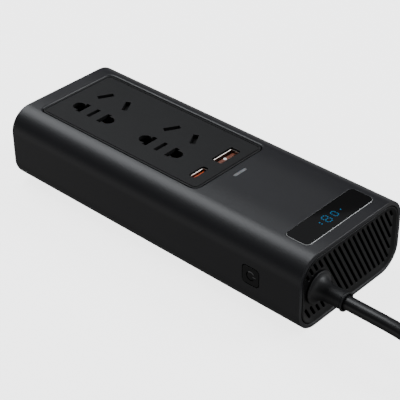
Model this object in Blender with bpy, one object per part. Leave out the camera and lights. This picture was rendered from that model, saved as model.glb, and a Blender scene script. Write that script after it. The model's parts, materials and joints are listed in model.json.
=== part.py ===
"""Hand-sized 12 V power inverter: a moulded sleeve with two five-hole outlets, USB ports, a display,
a fan and a lighter-plug lead. Metres, +Z up, +X towards the end that the lead leaves.
The origin is on the surface that it stands on, under the middle of the sleeve."""

import math

import bmesh
import bpy
from mathutils import Matrix, Vector

# Gap that neighbouring solids keep
GAP = 0.0003

# Sleeve
LENGTH = 0.1714
WIDTH = 0.0672
HEIGHT = 0.0365
CORNER = 0.0112
WALL = 0.0020
SLEEVE_EDGE = 0.0003
FOOT_PROUD = 0.0010

# End caps
CAP_RIM = 0.0007
DISH_DEPTH = 0.0008
DISH_SLOPE = 0.0019
CAP_PANEL = 0.0018
CAP_SKIRT = 0.0050
CAP_SKIRT_WALL = 0.0015
SLOT_WIDTH = 0.00115
SLOT_PITCH = 0.00313
SLOT_LEAN = math.radians(29)
SLOT_PHASE = -0.00107
SLOT_MARGINS = (0.0052, 0.0049)
SLOT_FIELD_CORNER = 0.0042
SHORTEST_SLOT = 0.0030

# Outlet panel in the top
PANEL_FROM_END = 0.0078
PANEL_LENGTH = 0.0979
PANEL_MARGIN = 0.0113
PANEL_CORNER = 0.0034
PANEL_RECESS = 0.0004
PANEL_PLATE = 0.0018
PANEL_LIP = 0.0015
LIP_THICK = 0.0013

# Outlets, measured from the panel's end away from the lead
OUTLET_FIRST = 0.0203
OUTLET_PITCH = 0.0429
EARTH_Y = -0.0075
PIN_RISE = 0.0143
PIN_SIDE = 0.00686
PIN_SLOT = (0.0077, 0.0026)
PIN_SPLAY = math.radians(30)
EARTH_SLOT = (0.0074, 0.0020)
FLAT_INNER = 0.0057
FLAT_SLOT = (0.0077, 0.0023)
ROUND_SIDE = 0.0096
ROUND_HOLE = 0.0058
SHUTTER_THICK = 0.0010
SHUTTER_TRAVEL = 0.0030
SHUTTER_SIZE = (0.0250, 0.0100)
BASE_SIZE = (0.0290, 0.0290)
BASE_DEPTH = 0.0160
BASE_WALL = 0.0012
CLIP_LEAF = 0.0006
CLIP_OPENING = 0.0012
CLIP_LENGTH = 0.0064
CLIP_HEIGHT = 0.0110

# USB ports, measured from the panel's end nearest the lead
USB_FROM_END = 0.0085
USB_A_Y = 0.0064
USB_A_HOLE = (0.0051, 0.0125)
USB_A_DEPTH = 0.0130
USB_C_Y = -0.0112
USB_C_HOLE = (0.0029, 0.0090)
USB_C_DEPTH = 0.0075
USB_WALL = 0.0004
USB_TONGUE_A = (0.0018, 0.0110, 0.0108)
USB_TONGUE_C = (0.0007, 0.0066, 0.0056)
USB_BOARD_REACH = (-0.0080, 0.0176)
USB_BOARD_SIDE = 0.0172
USB_BOARD_CLEAR = 0.0010
RISER_FROM_USB = 0.0060
RISER_WIDTH = 0.0120

# Status light and display
LIGHT_FROM_PANEL = 0.0051
LIGHT_SIZE = (0.0016, 0.0080)
LAMP_SIZE = (0.0020, 0.0032, 0.0016)
WINDOW_FROM_END = 0.0057
WINDOW_WIDTH = 0.0126
WINDOW_SHORTER = 0.0002
WINDOW_CORNER = 0.0026
WINDOW_THICK = 0.0016
MODULE_SIZE = (0.0100, 0.0300, 0.0055)
DISPLAY_BOARD = (0.0125, 0.0400)

# Power button in the -Y wall
BUTTON_FROM_END = 0.0253
BUTTON_SIZE = 0.0092
BUTTON_CORNER = 0.0020
BUTTON_TRAVEL = 0.0008
BUTTON_FLANGE = 0.0010
BUTTON_STEM = 0.0014
SWITCH_SIZE = (0.0060, 0.0034)
SWITCH_PLUNGER = (0.0016, 0.0008)
SWITCH_BOARD = (0.0150, 0.0150)

# Boards and what they carry
BOARD = 0.0016
TRAY = 0.0012
BOSS_HEIGHT = 0.0010
BOSS_RADIUS = 0.0032
SCREW_RADIUS = 0.0013
SCREW_HEAD = (0.0024, 0.0012)
TRAY_FROM_FRONT = 0.0075
BOARD_ENDS = (0.0155, 0.0095)
BOARD_SPARE = 0.0036
SCREW_INSET = 0.0075
CORE_SIZE = (0.0240, 0.0140, 0.0200)
CORE_LEG = 0.0035
CORE_CENTRE_LEG = 0.0060
WINDING_PROUD = 0.0035
CORE_PLACE = (0.0195, -0.0040)
WINDING_CORNER = 0.0020
SINK_FROM_LIGHT = 0.0070
SINK_SIZE = (0.0300, 0.0080, 0.0180)
SINK_FIN = 0.0014
SINK_FINS = 6
TRANSISTOR_SIZE = (0.0100, 0.0042, 0.0150)
TRANSISTOR_SHARES = (0.28, 0.72)
CAN_EDGE = 0.0006
INPUT_CAN = (0.0050, 0.0170)
INPUT_CAN_PLACE = (-0.0090, -0.0040)
OUTPUT_CAN = (0.0055, 0.0150)
OUTPUT_CAN_FROM_LIGHT = -0.0010
OUTPUT_CAN_FROM_EDGE = 0.0010
LEAD_WIRE = 0.0012
LEAD_WIRE_OFFSET = 0.0017
LEAD_WIRE_FROM_EDGE = 0.0018

# Fan
FAN_DEPTH = 0.0080
FAN_RIM = 0.0010
FAN_HUB = 0.0055
FAN_BLADES = 7
FAN_BLADE_GAP = 0.0010
FAN_STRUT = 0.0016

# Feet
FOOT_RADIUS = 0.0045
FOOT_INSET = 0.0150
FOOT_FROM_SIDE = 0.0136
FOOT_RECESS = 0.0006

# Lead: where it leaves the front cap, its strain relief and its cord
LEAD_FROM_SIDE = 0.0129
CORD_DIAMETER = 0.0060
FLANGE_RADIUS = 0.0075
RELIEF_REACH = 0.0137
RELIEF_NECK = 0.0050
BARREL_RADIUS = 0.0039
RELIEF_END = 0.0043
RELIEF_FLANGE = 0.0015
RELIEF_RIM = 0.0006
RELIEF_FLARE = 0.0052
RELIEF_LIP = 0.0010
# How far the cord has come and what share of the fall to the hank it has made
LEAD_FALL = ((0.0126, 0.0), (0.0246, 0.03), (0.0346, 0.24), (0.0446, 0.68), (0.0536, 1.0))
LEAD_CLEAR = 0.0011

# Hank that the lead is folded into, beyond the front end
HANK_FROM_END = 0.0783
HANK_RUN = 0.0500
HANK_TURN = 0.0190
TIE_THICK = 0.0008
TIE_WIDTH = 0.0100

# Lighter plug, along -X from its boot
PLUG_FROM_HANK = 0.0020
PLUG_BACK_FROM_HANK = 0.0080
PLUG_LENGTHS = {"boot": 0.0140, "grip": 0.0300, "barrel": 0.0330, "nose": 0.0080}
PLUG_GRIP = 0.0112
PLUG_GRIP_END = 0.0080
PLUG_GRIP_ROUND = (0.0020, 0.0012, 0.0045)
PLUG_GRIP_TAPER = 0.0040
BOOT_RADIUS = 0.0058
PLUG_BARREL = 0.0103
PLUG_BORE = 0.0042
PLUG_NOSE = (0.0092, 0.0076)
NOSE_BAND = 0.0020
NOSE_SHOULDER = 0.0032
NOSE_WALL = 0.0020
TIP_RADIUS = 0.0036
TIP_PROUD = 0.0060
TIP_SHOULDER = 0.0012
TIP_DOME = ((0.0008, 0.8), (0.0012, 0.45))
TIP_TRAVEL = 0.0030
FUSE = (0.0030, 0.0250)
SIDE_CONTACT = (0.0160, 0.0040)
SIDE_CONTACT_PROUD = 0.0010
SIDE_CONTACT_FROM_NOSE = 0.0060
SIDE_CONTACT_DEPTH = 0.0022
SIDE_CONTACT_SUNK = 0.0004
SIDE_CONTACT_CROWN = (0.55, 0.8)
SLOT_POCKET_WALL = 0.0010
SIDE_CONTACT_TRAVEL = 0.0012

# What follows from the sizes above
END = LENGTH / 2
SIDE = WIDTH / 2
TOP = FOOT_PROUD + HEIGHT
MIDDLE = FOOT_PROUD + HEIGHT / 2
PANEL_WIDTH = WIDTH - 2 * PANEL_MARGIN
WINDOW_SIZE = (WINDOW_WIDTH, PANEL_WIDTH - WINDOW_SHORTER)
FOOT_SPREAD = SIDE - FOOT_FROM_SIDE
LEAD_Y = -SIDE + LEAD_FROM_SIDE
TURN_STEP = CORD_DIAMETER + GAP
HANK_LEFT = END + HANK_FROM_END
HANK_UNDER = TIE_THICK + GAP
CAVITY_FLOOR = FOOT_PROUD + WALL
CAVITY_TOP = TOP - WALL
CAVITY_SIDE = SIDE - WALL
PANEL_START = -END + PANEL_FROM_END
PANEL_END = PANEL_START + PANEL_LENGTH
PANEL_FACE = TOP - PANEL_RECESS
PLATE_UNDER = PANEL_FACE - PANEL_PLATE
PANEL_UNDER = CAVITY_TOP - GAP - LIP_THICK
OUTLETS = [PANEL_START + OUTLET_FIRST + i * OUTLET_PITCH for i in range(2)]
PIN_Y = EARTH_Y + PIN_RISE
USB_X = PANEL_END - USB_FROM_END
LIGHT_X = PANEL_END + LIGHT_FROM_PANEL
WINDOW_X = END - WINDOW_FROM_END - WINDOW_SIZE[0] / 2
BUTTON_X = END - BUTTON_FROM_END
TRAY_START = -END + CAP_SKIRT + FAN_DEPTH + 2 * GAP
TRAY_WIDTH = WIDTH - 2 * CORNER
BOARD_WIDTH = 2 * (CAVITY_SIDE - BOARD_SPARE)
OUTPUT_CAN_Y = BOARD_WIDTH / 2 - OUTPUT_CAN_FROM_EDGE - OUTPUT_CAN[0]
BOARD_UNDER = CAVITY_FLOOR + GAP + TRAY + BOSS_HEIGHT + GAP
BOARD_TOP = BOARD_UNDER + BOARD
CAP_FACE = END - DISH_DEPTH
CAP_BACK = CAP_FACE - CAP_PANEL
RELIEF_HOLE = RELIEF_NECK + GAP
RELIEF_TIP = END + RELIEF_REACH
CORD_RADIUS = CORD_DIAMETER / 2
USB_BOARD_TOP = PANEL_FACE - USB_A_DEPTH - 2 * GAP

MATERIALS = {
    "black_abs": ((0.020, 0.020, 0.022), 0.45, 0.0),
    "panel_abs": ((0.016, 0.016, 0.017), 0.50, 0.0),
    "black_nylon": ((0.010, 0.010, 0.010), 0.60, 0.0),
    "gloss_acrylic": ((0.004, 0.004, 0.005), 0.06, 0.0),
    "grey_diffuser": ((0.150, 0.150, 0.155), 0.35, 0.0),
    "black_rubber": ((0.018, 0.018, 0.018), 0.75, 0.0),
    "black_pvc": ((0.017, 0.017, 0.018), 0.42, 0.0),
    "brass": ((0.720, 0.480, 0.160), 0.30, 1.0),
    "nickel": ((0.620, 0.600, 0.570), 0.25, 1.0),
    "orange_insulator": ((0.690, 0.090, 0.013), 0.45, 0.0),
    "white_insulator": ((0.750, 0.730, 0.700), 0.40, 0.0),
    "green_laminate": ((0.010, 0.110, 0.040), 0.45, 0.0),
    "ferrite": ((0.035, 0.035, 0.040), 0.55, 0.0),
    "copper_winding": ((0.600, 0.190, 0.060), 0.35, 1.0),
    "capacitor_sleeve": ((0.010, 0.020, 0.080), 0.30, 0.0),
    "aluminium": ((0.800, 0.800, 0.810), 0.35, 1.0),
    "epoxy": ((0.012, 0.012, 0.012), 0.50, 0.0),
    "steel": ((0.450, 0.450, 0.460), 0.30, 1.0),
    "blue_led": ((0.020, 0.300, 0.800), 0.30, 0.0),
    "fuse_body": ((0.800, 0.780, 0.720), 0.20, 0.0),
}


def clear_scene():
    for obj in list(bpy.data.objects):
        bpy.data.objects.remove(obj, do_unlink=True)


def material_for(name, finish):
    """One Principled BSDF material for one sub-part."""
    colour, roughness, metallic = MATERIALS[finish]
    material = bpy.data.materials.new(f"{name}_{finish}")
    material.use_nodes = True
    shader = material.node_tree.nodes["Principled BSDF"]
    shader.inputs["Base Color"].default_value = (*colour, 1)
    shader.inputs["Roughness"].default_value = roughness
    shader.inputs["Metallic"].default_value = metallic
    return material


def add_object(name, bm, finish=None, origin=(0, 0, 0)):
    """Turns a bmesh given in world coordinates into an object; without a finish it is a tool shape."""
    bmesh.ops.recalc_face_normals(bm, faces=bm.faces)
    bmesh.ops.translate(bm, verts=bm.verts, vec=-Vector(origin))
    mesh = bpy.data.meshes.new(name)
    bm.to_mesh(mesh)
    bm.free()
    obj = bpy.data.objects.new(name, mesh)
    obj.location = origin
    bpy.context.scene.collection.objects.link(obj)
    if finish:
        mesh.materials.append(material_for(name, finish))
    bpy.context.view_layer.update()
    return obj


def combine(obj, tools, operation):
    """Applies one Boolean for each tool shape and removes the tools."""
    for tool in tools:
        modifier = obj.modifiers.new(operation, "BOOLEAN")
        modifier.operation = operation
        modifier.solver = "EXACT"
        modifier.object = tool
    bpy.context.view_layer.update()
    graph = bpy.context.evaluated_depsgraph_get()
    mesh = bpy.data.meshes.new_from_object(obj.evaluated_get(graph))
    obj.modifiers.clear()
    obj.data = mesh
    for tool in tools:
        bpy.data.objects.remove(tool, do_unlink=True)
    return obj


def cut(obj, *tools):
    return combine(obj, tools, "DIFFERENCE")


def fuse(obj, *tools):
    return combine(obj, tools, "UNION")


def smooth(obj, angle=math.radians(35)):
    obj.data.shade_smooth()
    obj.data.set_sharp_from_angle(angle=angle)
    return obj


def rounded(width, height, radius, steps=4, centre=(0, 0)):
    """A rectangle with round corners, anticlockwise."""
    points = []
    corners = ((1, 1, 0), (-1, 1, 90), (-1, -1, 180), (1, -1, 270))
    for side, up, start in corners:
        for step in range(steps + 1):
            angle = math.radians(start + 90 * step / steps)
            points.append((
                centre[0] + side * (width / 2 - radius) + radius * math.cos(angle),
                centre[1] + up * (height / 2 - radius) + radius * math.sin(angle),
            ))
    return points


def rectangle(width, height, centre=(0, 0)):
    x, y = centre
    return [(x + i * width / 2, y + j * height / 2) for i, j in ((1, 1), (-1, 1), (-1, -1), (1, -1))]


def circle(radius, steps=16, centre=(0, 0)):
    turns = [2 * math.pi * i / steps for i in range(steps)]
    return [(centre[0] + radius * math.cos(t), centre[1] + radius * math.sin(t)) for t in turns]


def turned_outline(outline, angle, centre=(0, 0)):
    """An outline about (0, 0) turned anticlockwise, then moved to its centre."""
    c, s = math.cos(angle), math.sin(angle)
    return [(centre[0] + c * x - s * y, centre[1] + s * x + c * y) for x, y in outline]


def on_axis(axis, point, level):
    """A point of an outline at a level along an axis: outlines are (Y, Z), (X, Z) or (X, Y)."""
    a, b = point
    return {"X": (level, a, b), "Y": (a, level, b), "Z": (a, b, level)}[axis]


def loft(name, axis, sections, finish=None, origin=(0, 0, 0)):
    """A closed solid through outlines with equal point counts, given as (level, outline)."""
    bm = bmesh.new()
    rings = [[bm.verts.new(on_axis(axis, p, level)) for p in outline] for level, outline in sections]
    for low, high in zip(rings, rings[1:]):
        for i in range(len(low)):
            j = (i + 1) % len(low)
            bm.faces.new((low[i], low[j], high[j], high[i]))
    bm.faces.new(rings[0])
    bm.faces.new(rings[-1])
    return add_object(name, bm, finish, origin)


def prism(name, axis, outline, low, high, finish=None, origin=(0, 0, 0)):
    return loft(name, axis, [(low, outline), (high, outline)], finish, origin)


def box(name, low, high, finish=None, origin=(0, 0, 0)):
    width, depth = high[0] - low[0], high[1] - low[1]
    centre = ((low[0] + high[0]) / 2, (low[1] + high[1]) / 2)
    return prism(name, "Z", rectangle(width, depth, centre), low[2], high[2], finish, origin)


def lathe(name, profile, start, direction, finish=None, steps=24, origin=(0, 0, 0)):
    """Turns (distance, radius) points about the line from start along direction; the ends are closed."""
    bm = bmesh.new()
    turn = Vector((0, 0, 1)).rotation_difference(Vector(direction)).to_matrix().to_4x4()
    place = Matrix.Translation(Vector(start)) @ turn
    rings = []
    for distance, radius in profile:
        if radius <= 0:
            rings.append([bm.verts.new(place @ Vector((0, 0, distance)))])
            continue
        rings.append([bm.verts.new(place @ Vector((x, y, distance))) for x, y in circle(radius, steps)])
    for low, high in zip(rings, rings[1:]):
        for i in range(steps):
            j = (i + 1) % steps
            corners = [low[i % len(low)], low[j % len(low)], high[j % len(high)], high[i % len(high)]]
            bm.faces.new(list(dict.fromkeys(corners)))
    for ring in (rings[0], rings[-1]):
        if len(ring) > 1:
            bm.faces.new(ring)
    return add_object(name, bm, finish, origin)


def sleeve_outline(inset):
    return rounded(WIDTH - 2 * inset, HEIGHT - 2 * inset, CORNER - inset, 8, (0, MIDDLE))


def housing_sleeve():
    sections = [
        (-END, sleeve_outline(SLEEVE_EDGE)),
        (-END + SLEEVE_EDGE, sleeve_outline(0)),
        (END - SLEEVE_EDGE, sleeve_outline(0)),
        (END, sleeve_outline(SLEEVE_EDGE)),
    ]
    sleeve = loft("housing_sleeve", "X", sections, "black_abs")
    over = TOP + WALL
    under = TOP - 2 * WALL
    panel_centre = ((PANEL_START + PANEL_END) / 2, 0)
    panel_hole = rounded(PANEL_LENGTH, PANEL_WIDTH, PANEL_CORNER, 4, panel_centre)
    window_hole = rounded(*WINDOW_SIZE, WINDOW_CORNER, 4, (WINDOW_X, 0))
    light_hole = rounded(*LIGHT_SIZE, LIGHT_SIZE[0] / 2.01, 4, (LIGHT_X, 0))
    button_hole = rounded(BUTTON_SIZE, BUTTON_SIZE, BUTTON_CORNER, 4, (BUTTON_X, MIDDLE))
    tools = [
        prism("cavity", "X", sleeve_outline(WALL), -END - WALL, END + WALL),
        prism("panel_hole", "Z", panel_hole, under, over),
        prism("window_hole", "Z", window_hole, under, over),
        prism("light_hole", "Z", light_hole, under, over),
        prism("button_hole", "Y", button_hole, -SIDE - WALL, -SIDE + 2 * WALL),
    ]
    for x, y in foot_places():
        pocket = circle(FOOT_RADIUS + GAP, 20, (x, y))
        tools.append(prism("foot_pocket", "Z", pocket, 0, FOOT_PROUD + FOOT_RECESS))
    return smooth(cut(sleeve, *tools))


def foot_places():
    x = END - FOOT_INSET
    return [(i * x, j * FOOT_SPREAD) for i in (-1, 1) for j in (-1, 1)]


def rubber_feet():
    """Round pads in shallow pockets under the sleeve."""
    for number, (x, y) in enumerate(foot_places(), 1):
        edge = FOOT_PROUD / 3
        top = FOOT_PROUD + FOOT_RECESS - GAP
        profile = [(0, FOOT_RADIUS - edge), (edge, FOOT_RADIUS), (top, FOOT_RADIUS)]
        smooth(lathe(f"rubber_foot_{number}", profile, (x, y, 0), (0, 0, 1), "black_rubber", 20))


def in_slot_field(y, z):
    """Whether a point is in the rounded field that the grille's slots fill."""
    half_width = SIDE - SLOT_MARGINS[0] - SLOT_FIELD_CORNER
    half_height = HEIGHT / 2 - SLOT_MARGINS[1] - SLOT_FIELD_CORNER
    past_y = max(abs(y) - half_width, 0)
    past_z = max(abs(z) - half_height, 0)
    return math.hypot(past_y, past_z) < SLOT_FIELD_CORNER


def slot_runs(keep_clear):
    """The stretches of each slanting slot that are inside the field and outside a circle on the cap."""
    step = 0.0001
    reach = int(HEIGHT / step)
    runs = []
    count = int(WIDTH / SLOT_PITCH) + 1
    for number in range(-count, count + 1):
        run = []
        for i in range(-reach, reach + 1):
            drop = i * step * math.cos(SLOT_LEAN)
            y = SLOT_PHASE + number * SLOT_PITCH + i * step * math.sin(SLOT_LEAN)
            free = keep_clear is None or math.hypot(y - LEAD_Y, drop) > keep_clear
            if in_slot_field(y, drop) and free:
                run.append((y, MIDDLE - drop))
                continue
            if len(run) * step > SHORTEST_SLOT:
                runs.append((run[0], run[-1]))
            run = []
    return runs


def slot_cutters(keep_clear, low, high):
    """One stadium-shaped prism for each run, as one tool mesh."""
    bm = bmesh.new()
    for (y0, z0), (y1, z1) in slot_runs(keep_clear):
        long = math.hypot(y1 - y0, z1 - z0)
        outline = rounded(SLOT_WIDTH, long, SLOT_WIDTH / 2.01, 2)
        outline = turned_outline(outline, SLOT_LEAN, ((y0 + y1) / 2, (z0 + z1) / 2))
        rings = [[bm.verts.new((x, *point)) for point in outline] for x in (low, high)]
        for i in range(len(outline)):
            j = (i + 1) % len(outline)
            bm.faces.new((rings[0][i], rings[0][j], rings[1][j], rings[1][i]))
        bm.faces.new(rings[0])
        bm.faces.new(rings[1])
    return add_object("slots", bm)


def end_cap(name, facing, keep_clear):
    """A grille plate with a skirt that plugs into the sleeve; facing is 1 at the lead's end, else -1."""
    fit = WALL + GAP
    rim_in = fit + CAP_RIM
    cap = prism(name, "X", sleeve_outline(fit), facing * (END - CAP_SKIRT), facing * END, "black_abs")
    over = facing * (END + WALL)
    dish = [
        (facing * CAP_FACE, sleeve_outline(rim_in + DISH_SLOPE)),
        (facing * END, sleeve_outline(rim_in)),
        (over, sleeve_outline(rim_in)),
    ]
    inside = sleeve_outline(fit + CAP_SKIRT_WALL)
    tools = [
        loft("dish", "X", dish),
        prism("skirt_hollow", "X", inside, facing * CAP_BACK, facing * (END - CAP_SKIRT - WALL)),
        slot_cutters(keep_clear, facing * (CAP_BACK - WALL), over),
    ]
    if keep_clear:
        hole = circle(RELIEF_HOLE, 24, (LEAD_Y, MIDDLE))
        tools.append(prism("relief_hole", "X", hole, CAP_BACK - WALL, over))
    return smooth(cut(cap, *tools))


def outlet_holes(x, shift=0.0):
    """One five-hole pattern: the live slots, then the two round-and-flat holes, then earth."""
    outlines = []
    for side in (-1, 1):
        slot = rectangle(PIN_SLOT[1], PIN_SLOT[0])
        outlines.append(turned_outline(slot, side * PIN_SPLAY, (x + shift + side * PIN_SIDE, PIN_Y)))
    for side in (-1, 1):
        outlines.append(two_pin_hole(x, side))
    outlines.append(rectangle(EARTH_SLOT[1], EARTH_SLOT[0], (x, EARTH_Y)))
    return outlines


def two_pin_hole(x, side):
    """A flat slot that widens outwards into a round pin's hole, as one outline."""
    inner = FLAT_INNER
    outer = FLAT_INNER + FLAT_SLOT[1]
    half = FLAT_SLOT[0] / 2
    radius = ROUND_HOLE / 2
    reach = math.acos(max(-1.0, min(1.0, (outer - ROUND_SIDE) / radius)))
    arc = [reach * (1 - 2 * i / 8) for i in range(9)]
    points = [(outer, half), (inner, half), (inner, -half), (outer, -half)]
    points += [(ROUND_SIDE + radius * math.cos(t), -radius * math.sin(t)) for t in arc]
    return [(x + side * a, EARTH_Y + b) for a, b in points]


def socket_panel():
    centre = ((PANEL_START + PANEL_END) / 2, 0)
    plate = rounded(PANEL_LENGTH - 2 * GAP, PANEL_WIDTH - 2 * GAP, PANEL_CORNER - GAP, 4, centre)
    lip_size = (PANEL_LENGTH + 2 * PANEL_LIP, PANEL_WIDTH + 2 * PANEL_LIP)
    lip = rounded(*lip_size, PANEL_CORNER + PANEL_LIP, 4, centre)
    pocket_size = (PANEL_LENGTH - 4 * PANEL_LIP, PANEL_WIDTH - 4 * PANEL_LIP)
    pocket = rounded(*pocket_size, PANEL_CORNER - PANEL_LIP, 2, centre)
    panel = prism("socket_panel", "Z", plate, PANEL_UNDER, PANEL_FACE, "panel_abs")
    fuse(panel, prism("lip", "Z", lip, PANEL_UNDER, PANEL_UNDER + LIP_THICK))
    tools = [prism("pocket", "Z", pocket, PANEL_UNDER - WALL, PLATE_UNDER)]
    for x in OUTLETS:
        for outline in outlet_holes(x):
            tools.append(prism("pin_hole", "Z", outline, PANEL_UNDER - WALL, TOP + WALL))
    for size, y in ((USB_A_HOLE, USB_A_Y), (USB_C_HOLE, USB_C_Y)):
        corner = min(size) / 6 if size is USB_A_HOLE else min(size) / 2.1
        hole = rounded(size[0] + 2 * GAP, size[1] + 2 * GAP, corner, 3, (USB_X, y))
        tools.append(prism("port_hole", "Z", hole, PANEL_UNDER - WALL, TOP + WALL))
    return smooth(cut(panel, *tools))


def safety_shutter(number, x):
    """A sliding plate whose own slots come under the live slots once it has travelled."""
    high = PLATE_UNDER - GAP
    outline = rounded(*SHUTTER_SIZE, BASE_WALL, 2, (x - SHUTTER_TRAVEL / 2, PIN_Y))
    shutter = prism(
        f"safety_shutter_{number}", "Z", outline, high - SHUTTER_THICK, high, "black_nylon",
        (x, PIN_Y, high - SHUTTER_THICK / 2),
    )
    slots = outlet_holes(x, -SHUTTER_TRAVEL)[:2]
    return cut(shutter, *[prism("slot", "Z", s, high - 3 * SHUTTER_THICK, high + WALL) for s in slots])


def outlet_base(number, x):
    """The open box under an outlet that its contacts stand in."""
    top = PANEL_UNDER - GAP
    outline = rounded(*BASE_SIZE, BASE_WALL, 2, (x, 0))
    inside = rectangle(BASE_SIZE[0] - 2 * BASE_WALL, BASE_SIZE[1] - 2 * BASE_WALL, (x, 0))
    base = prism(f"outlet_base_{number}", "Z", outline, top - BASE_DEPTH, top, "black_nylon")
    return cut(base, prism("inside", "Z", inside, top - BASE_DEPTH + BASE_WALL, top + WALL))


def clip(name, centre, angle, floor, finish=None):
    """A U-shaped pin clip: two leaves that stand on a strip."""
    across = CLIP_OPENING + 2 * CLIP_LEAF
    outer = turned_outline(rectangle(across, CLIP_LENGTH), angle, centre)
    inner = turned_outline(rectangle(CLIP_OPENING, CLIP_LENGTH + WALL), angle, centre)
    body = prism(name, "Z", outer, floor, floor + CLIP_HEIGHT, finish)
    return cut(body, prism("opening", "Z", inner, floor + CLIP_LEAF, floor + CLIP_HEIGHT + WALL))


def outlet_contacts(number, x):
    """Line and neutral each serve a splayed slot and a two-pin hole; earth serves its own slot."""
    floor = PANEL_UNDER - GAP - BASE_DEPTH + BASE_WALL + GAP
    flat_x = FLAT_INNER + FLAT_SLOT[1] / 2
    for side, word in ((-1, "line"), (1, "neutral")):
        contact = clip(f"{word}_contact_{number}", (x + side * flat_x, EARTH_Y), 0, floor, "brass")
        splayed = clip("splayed", (x + side * PIN_SIDE, PIN_Y), side * PIN_SPLAY, floor)
        near = x + side * PIN_SIDE
        strip = box(
            "strip", (near - CLIP_OPENING, EARTH_Y, floor), (near + CLIP_OPENING, PIN_Y, floor + CLIP_LEAF)
        )
        fuse(contact, splayed, strip)
    clip(f"earth_contact_{number}", (x, EARTH_Y), 0, floor, "brass")


def usb_port(letter, hole, y, depth, tongue, finish):
    """A drawn shell with a floor, and the contact tongue that stands on the floor."""
    top = PANEL_FACE - GAP
    corner = min(hole) / 6 if letter == "a" else min(hole) / 2.1
    outer = rounded(*hole, corner, 3, (USB_X, y))
    wall = corner - USB_WALL if corner > 2 * USB_WALL else corner / 2
    inner = rounded(hole[0] - 2 * USB_WALL, hole[1] - 2 * USB_WALL, wall, 3, (USB_X, y))
    shell = prism(f"usb_{letter}_shell", "Z", outer, top - depth, top, "nickel")
    smooth(cut(shell, prism("inside", "Z", inner, top - depth + USB_WALL, top + WALL)))
    thick, wide, tall = tongue
    offset = (hole[0] / 2 - USB_WALL - thick) / 2 if letter == "a" else 0
    low = top - depth + USB_WALL + GAP
    outline = rectangle(thick, wide, (USB_X - offset, y))
    prism(f"usb_{letter}_tongue", "Z", outline, low, low + tall, finish)


def usb_board():
    """The ports' board, with the riser that joins it to the main board."""
    can_side = OUTPUT_CAN_Y - OUTPUT_CAN[0]
    low = (USB_X + USB_BOARD_REACH[0], -USB_BOARD_SIDE, USB_BOARD_TOP - BOARD)
    high = (USB_X + USB_BOARD_REACH[1], can_side - USB_BOARD_CLEAR, USB_BOARD_TOP)
    board = box("usb_board", low, high, "green_laminate")
    leg = (USB_X + RISER_FROM_USB, 0, BOARD_TOP + GAP)
    return fuse(board, box("riser", leg, (leg[0] + BOARD, RISER_WIDTH, USB_BOARD_TOP - BOARD / 2)))


def status_light():
    """The diffuser that shows in the top, and the lamp under it."""
    wide, long, tall = LAMP_SIZE
    lamp_top = USB_BOARD_TOP + GAP + tall
    pipe = rounded(LIGHT_SIZE[0] - GAP, LIGHT_SIZE[1] - GAP, (LIGHT_SIZE[0] - GAP) / 2.01, 4, (LIGHT_X, 0))
    prism("status_light_pipe", "Z", pipe, lamp_top + GAP, TOP - GAP / 2, "grey_diffuser")
    low = (LIGHT_X - wide / 2, -long / 2, USB_BOARD_TOP + GAP)
    box("status_lamp", low, (LIGHT_X + wide / 2, long / 2, lamp_top), "white_insulator")


def display():
    """A window set in the top, with its lit module and board under it."""
    outline = rounded(WINDOW_SIZE[0] - GAP, WINDOW_SIZE[1] - GAP, WINDOW_CORNER, 4, (WINDOW_X, 0))
    prism("display_window", "Z", outline, TOP - WINDOW_THICK, TOP, "gloss_acrylic")
    wide, long, thick = MODULE_SIZE
    high = TOP - WINDOW_THICK - GAP
    face = rectangle(wide, long, (WINDOW_X, 0))
    prism("display_module", "Z", face, high - thick, high, "blue_led")
    board_high = high - thick - GAP
    outline = rectangle(*DISPLAY_BOARD, (WINDOW_X - 0.0010, 0))
    prism("display_board", "Z", outline, board_high - BOARD, board_high, "green_laminate")


def power_button():
    """A square key through the wall, held in by its flange, that presses the switch behind it."""
    face = -SIDE
    flange_front = -CAVITY_SIDE + GAP
    shape = rounded(BUTTON_SIZE - 2 * GAP, BUTTON_SIZE - 2 * GAP, BUTTON_CORNER - GAP, 4, (BUTTON_X, MIDDLE))
    flange = rounded(BUTTON_SIZE + WALL, BUTTON_SIZE + WALL, BUTTON_CORNER, 4, (BUTTON_X, MIDDLE))
    origin = (BUTTON_X, face, MIDDLE)
    back = flange_front + BUTTON_FLANGE
    button = prism("power_button", "Y", shape, face, back, "black_abs", origin)
    stem = prism("stem", "Y", circle(0.0015, 12, (BUTTON_X, MIDDLE)), flange_front, back + BUTTON_STEM)
    fuse(button, prism("flange", "Y", flange, flange_front, back), stem)
    plunger_front = back + BUTTON_STEM + BUTTON_TRAVEL + GAP
    body_front = plunger_front + SWITCH_PLUNGER[1]
    body_back = body_front + SWITCH_SIZE[1]
    body = rectangle(SWITCH_SIZE[0], SWITCH_SIZE[0], (BUTTON_X, MIDDLE))
    switch = prism("power_switch", "Y", body, body_front, body_back, "epoxy")
    plunger = circle(SWITCH_PLUNGER[0], 12, (BUTTON_X, MIDDLE))
    fuse(switch, prism("plunger", "Y", plunger, plunger_front, body_front + GAP))
    board = rectangle(*SWITCH_BOARD, (BUTTON_X, MIDDLE))
    prism("switch_board", "Y", board, body_back + GAP, body_back + GAP + BOARD, "green_laminate")


def screw_places():
    x0 = -END + BOARD_ENDS[0] + SCREW_INSET
    x1 = END - BOARD_ENDS[1] - SCREW_INSET
    y = TRAY_WIDTH / 2 - BOSS_RADIUS
    return [(x, side * y) for x in (x0, x1) for side in (-1, 1)]


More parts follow.
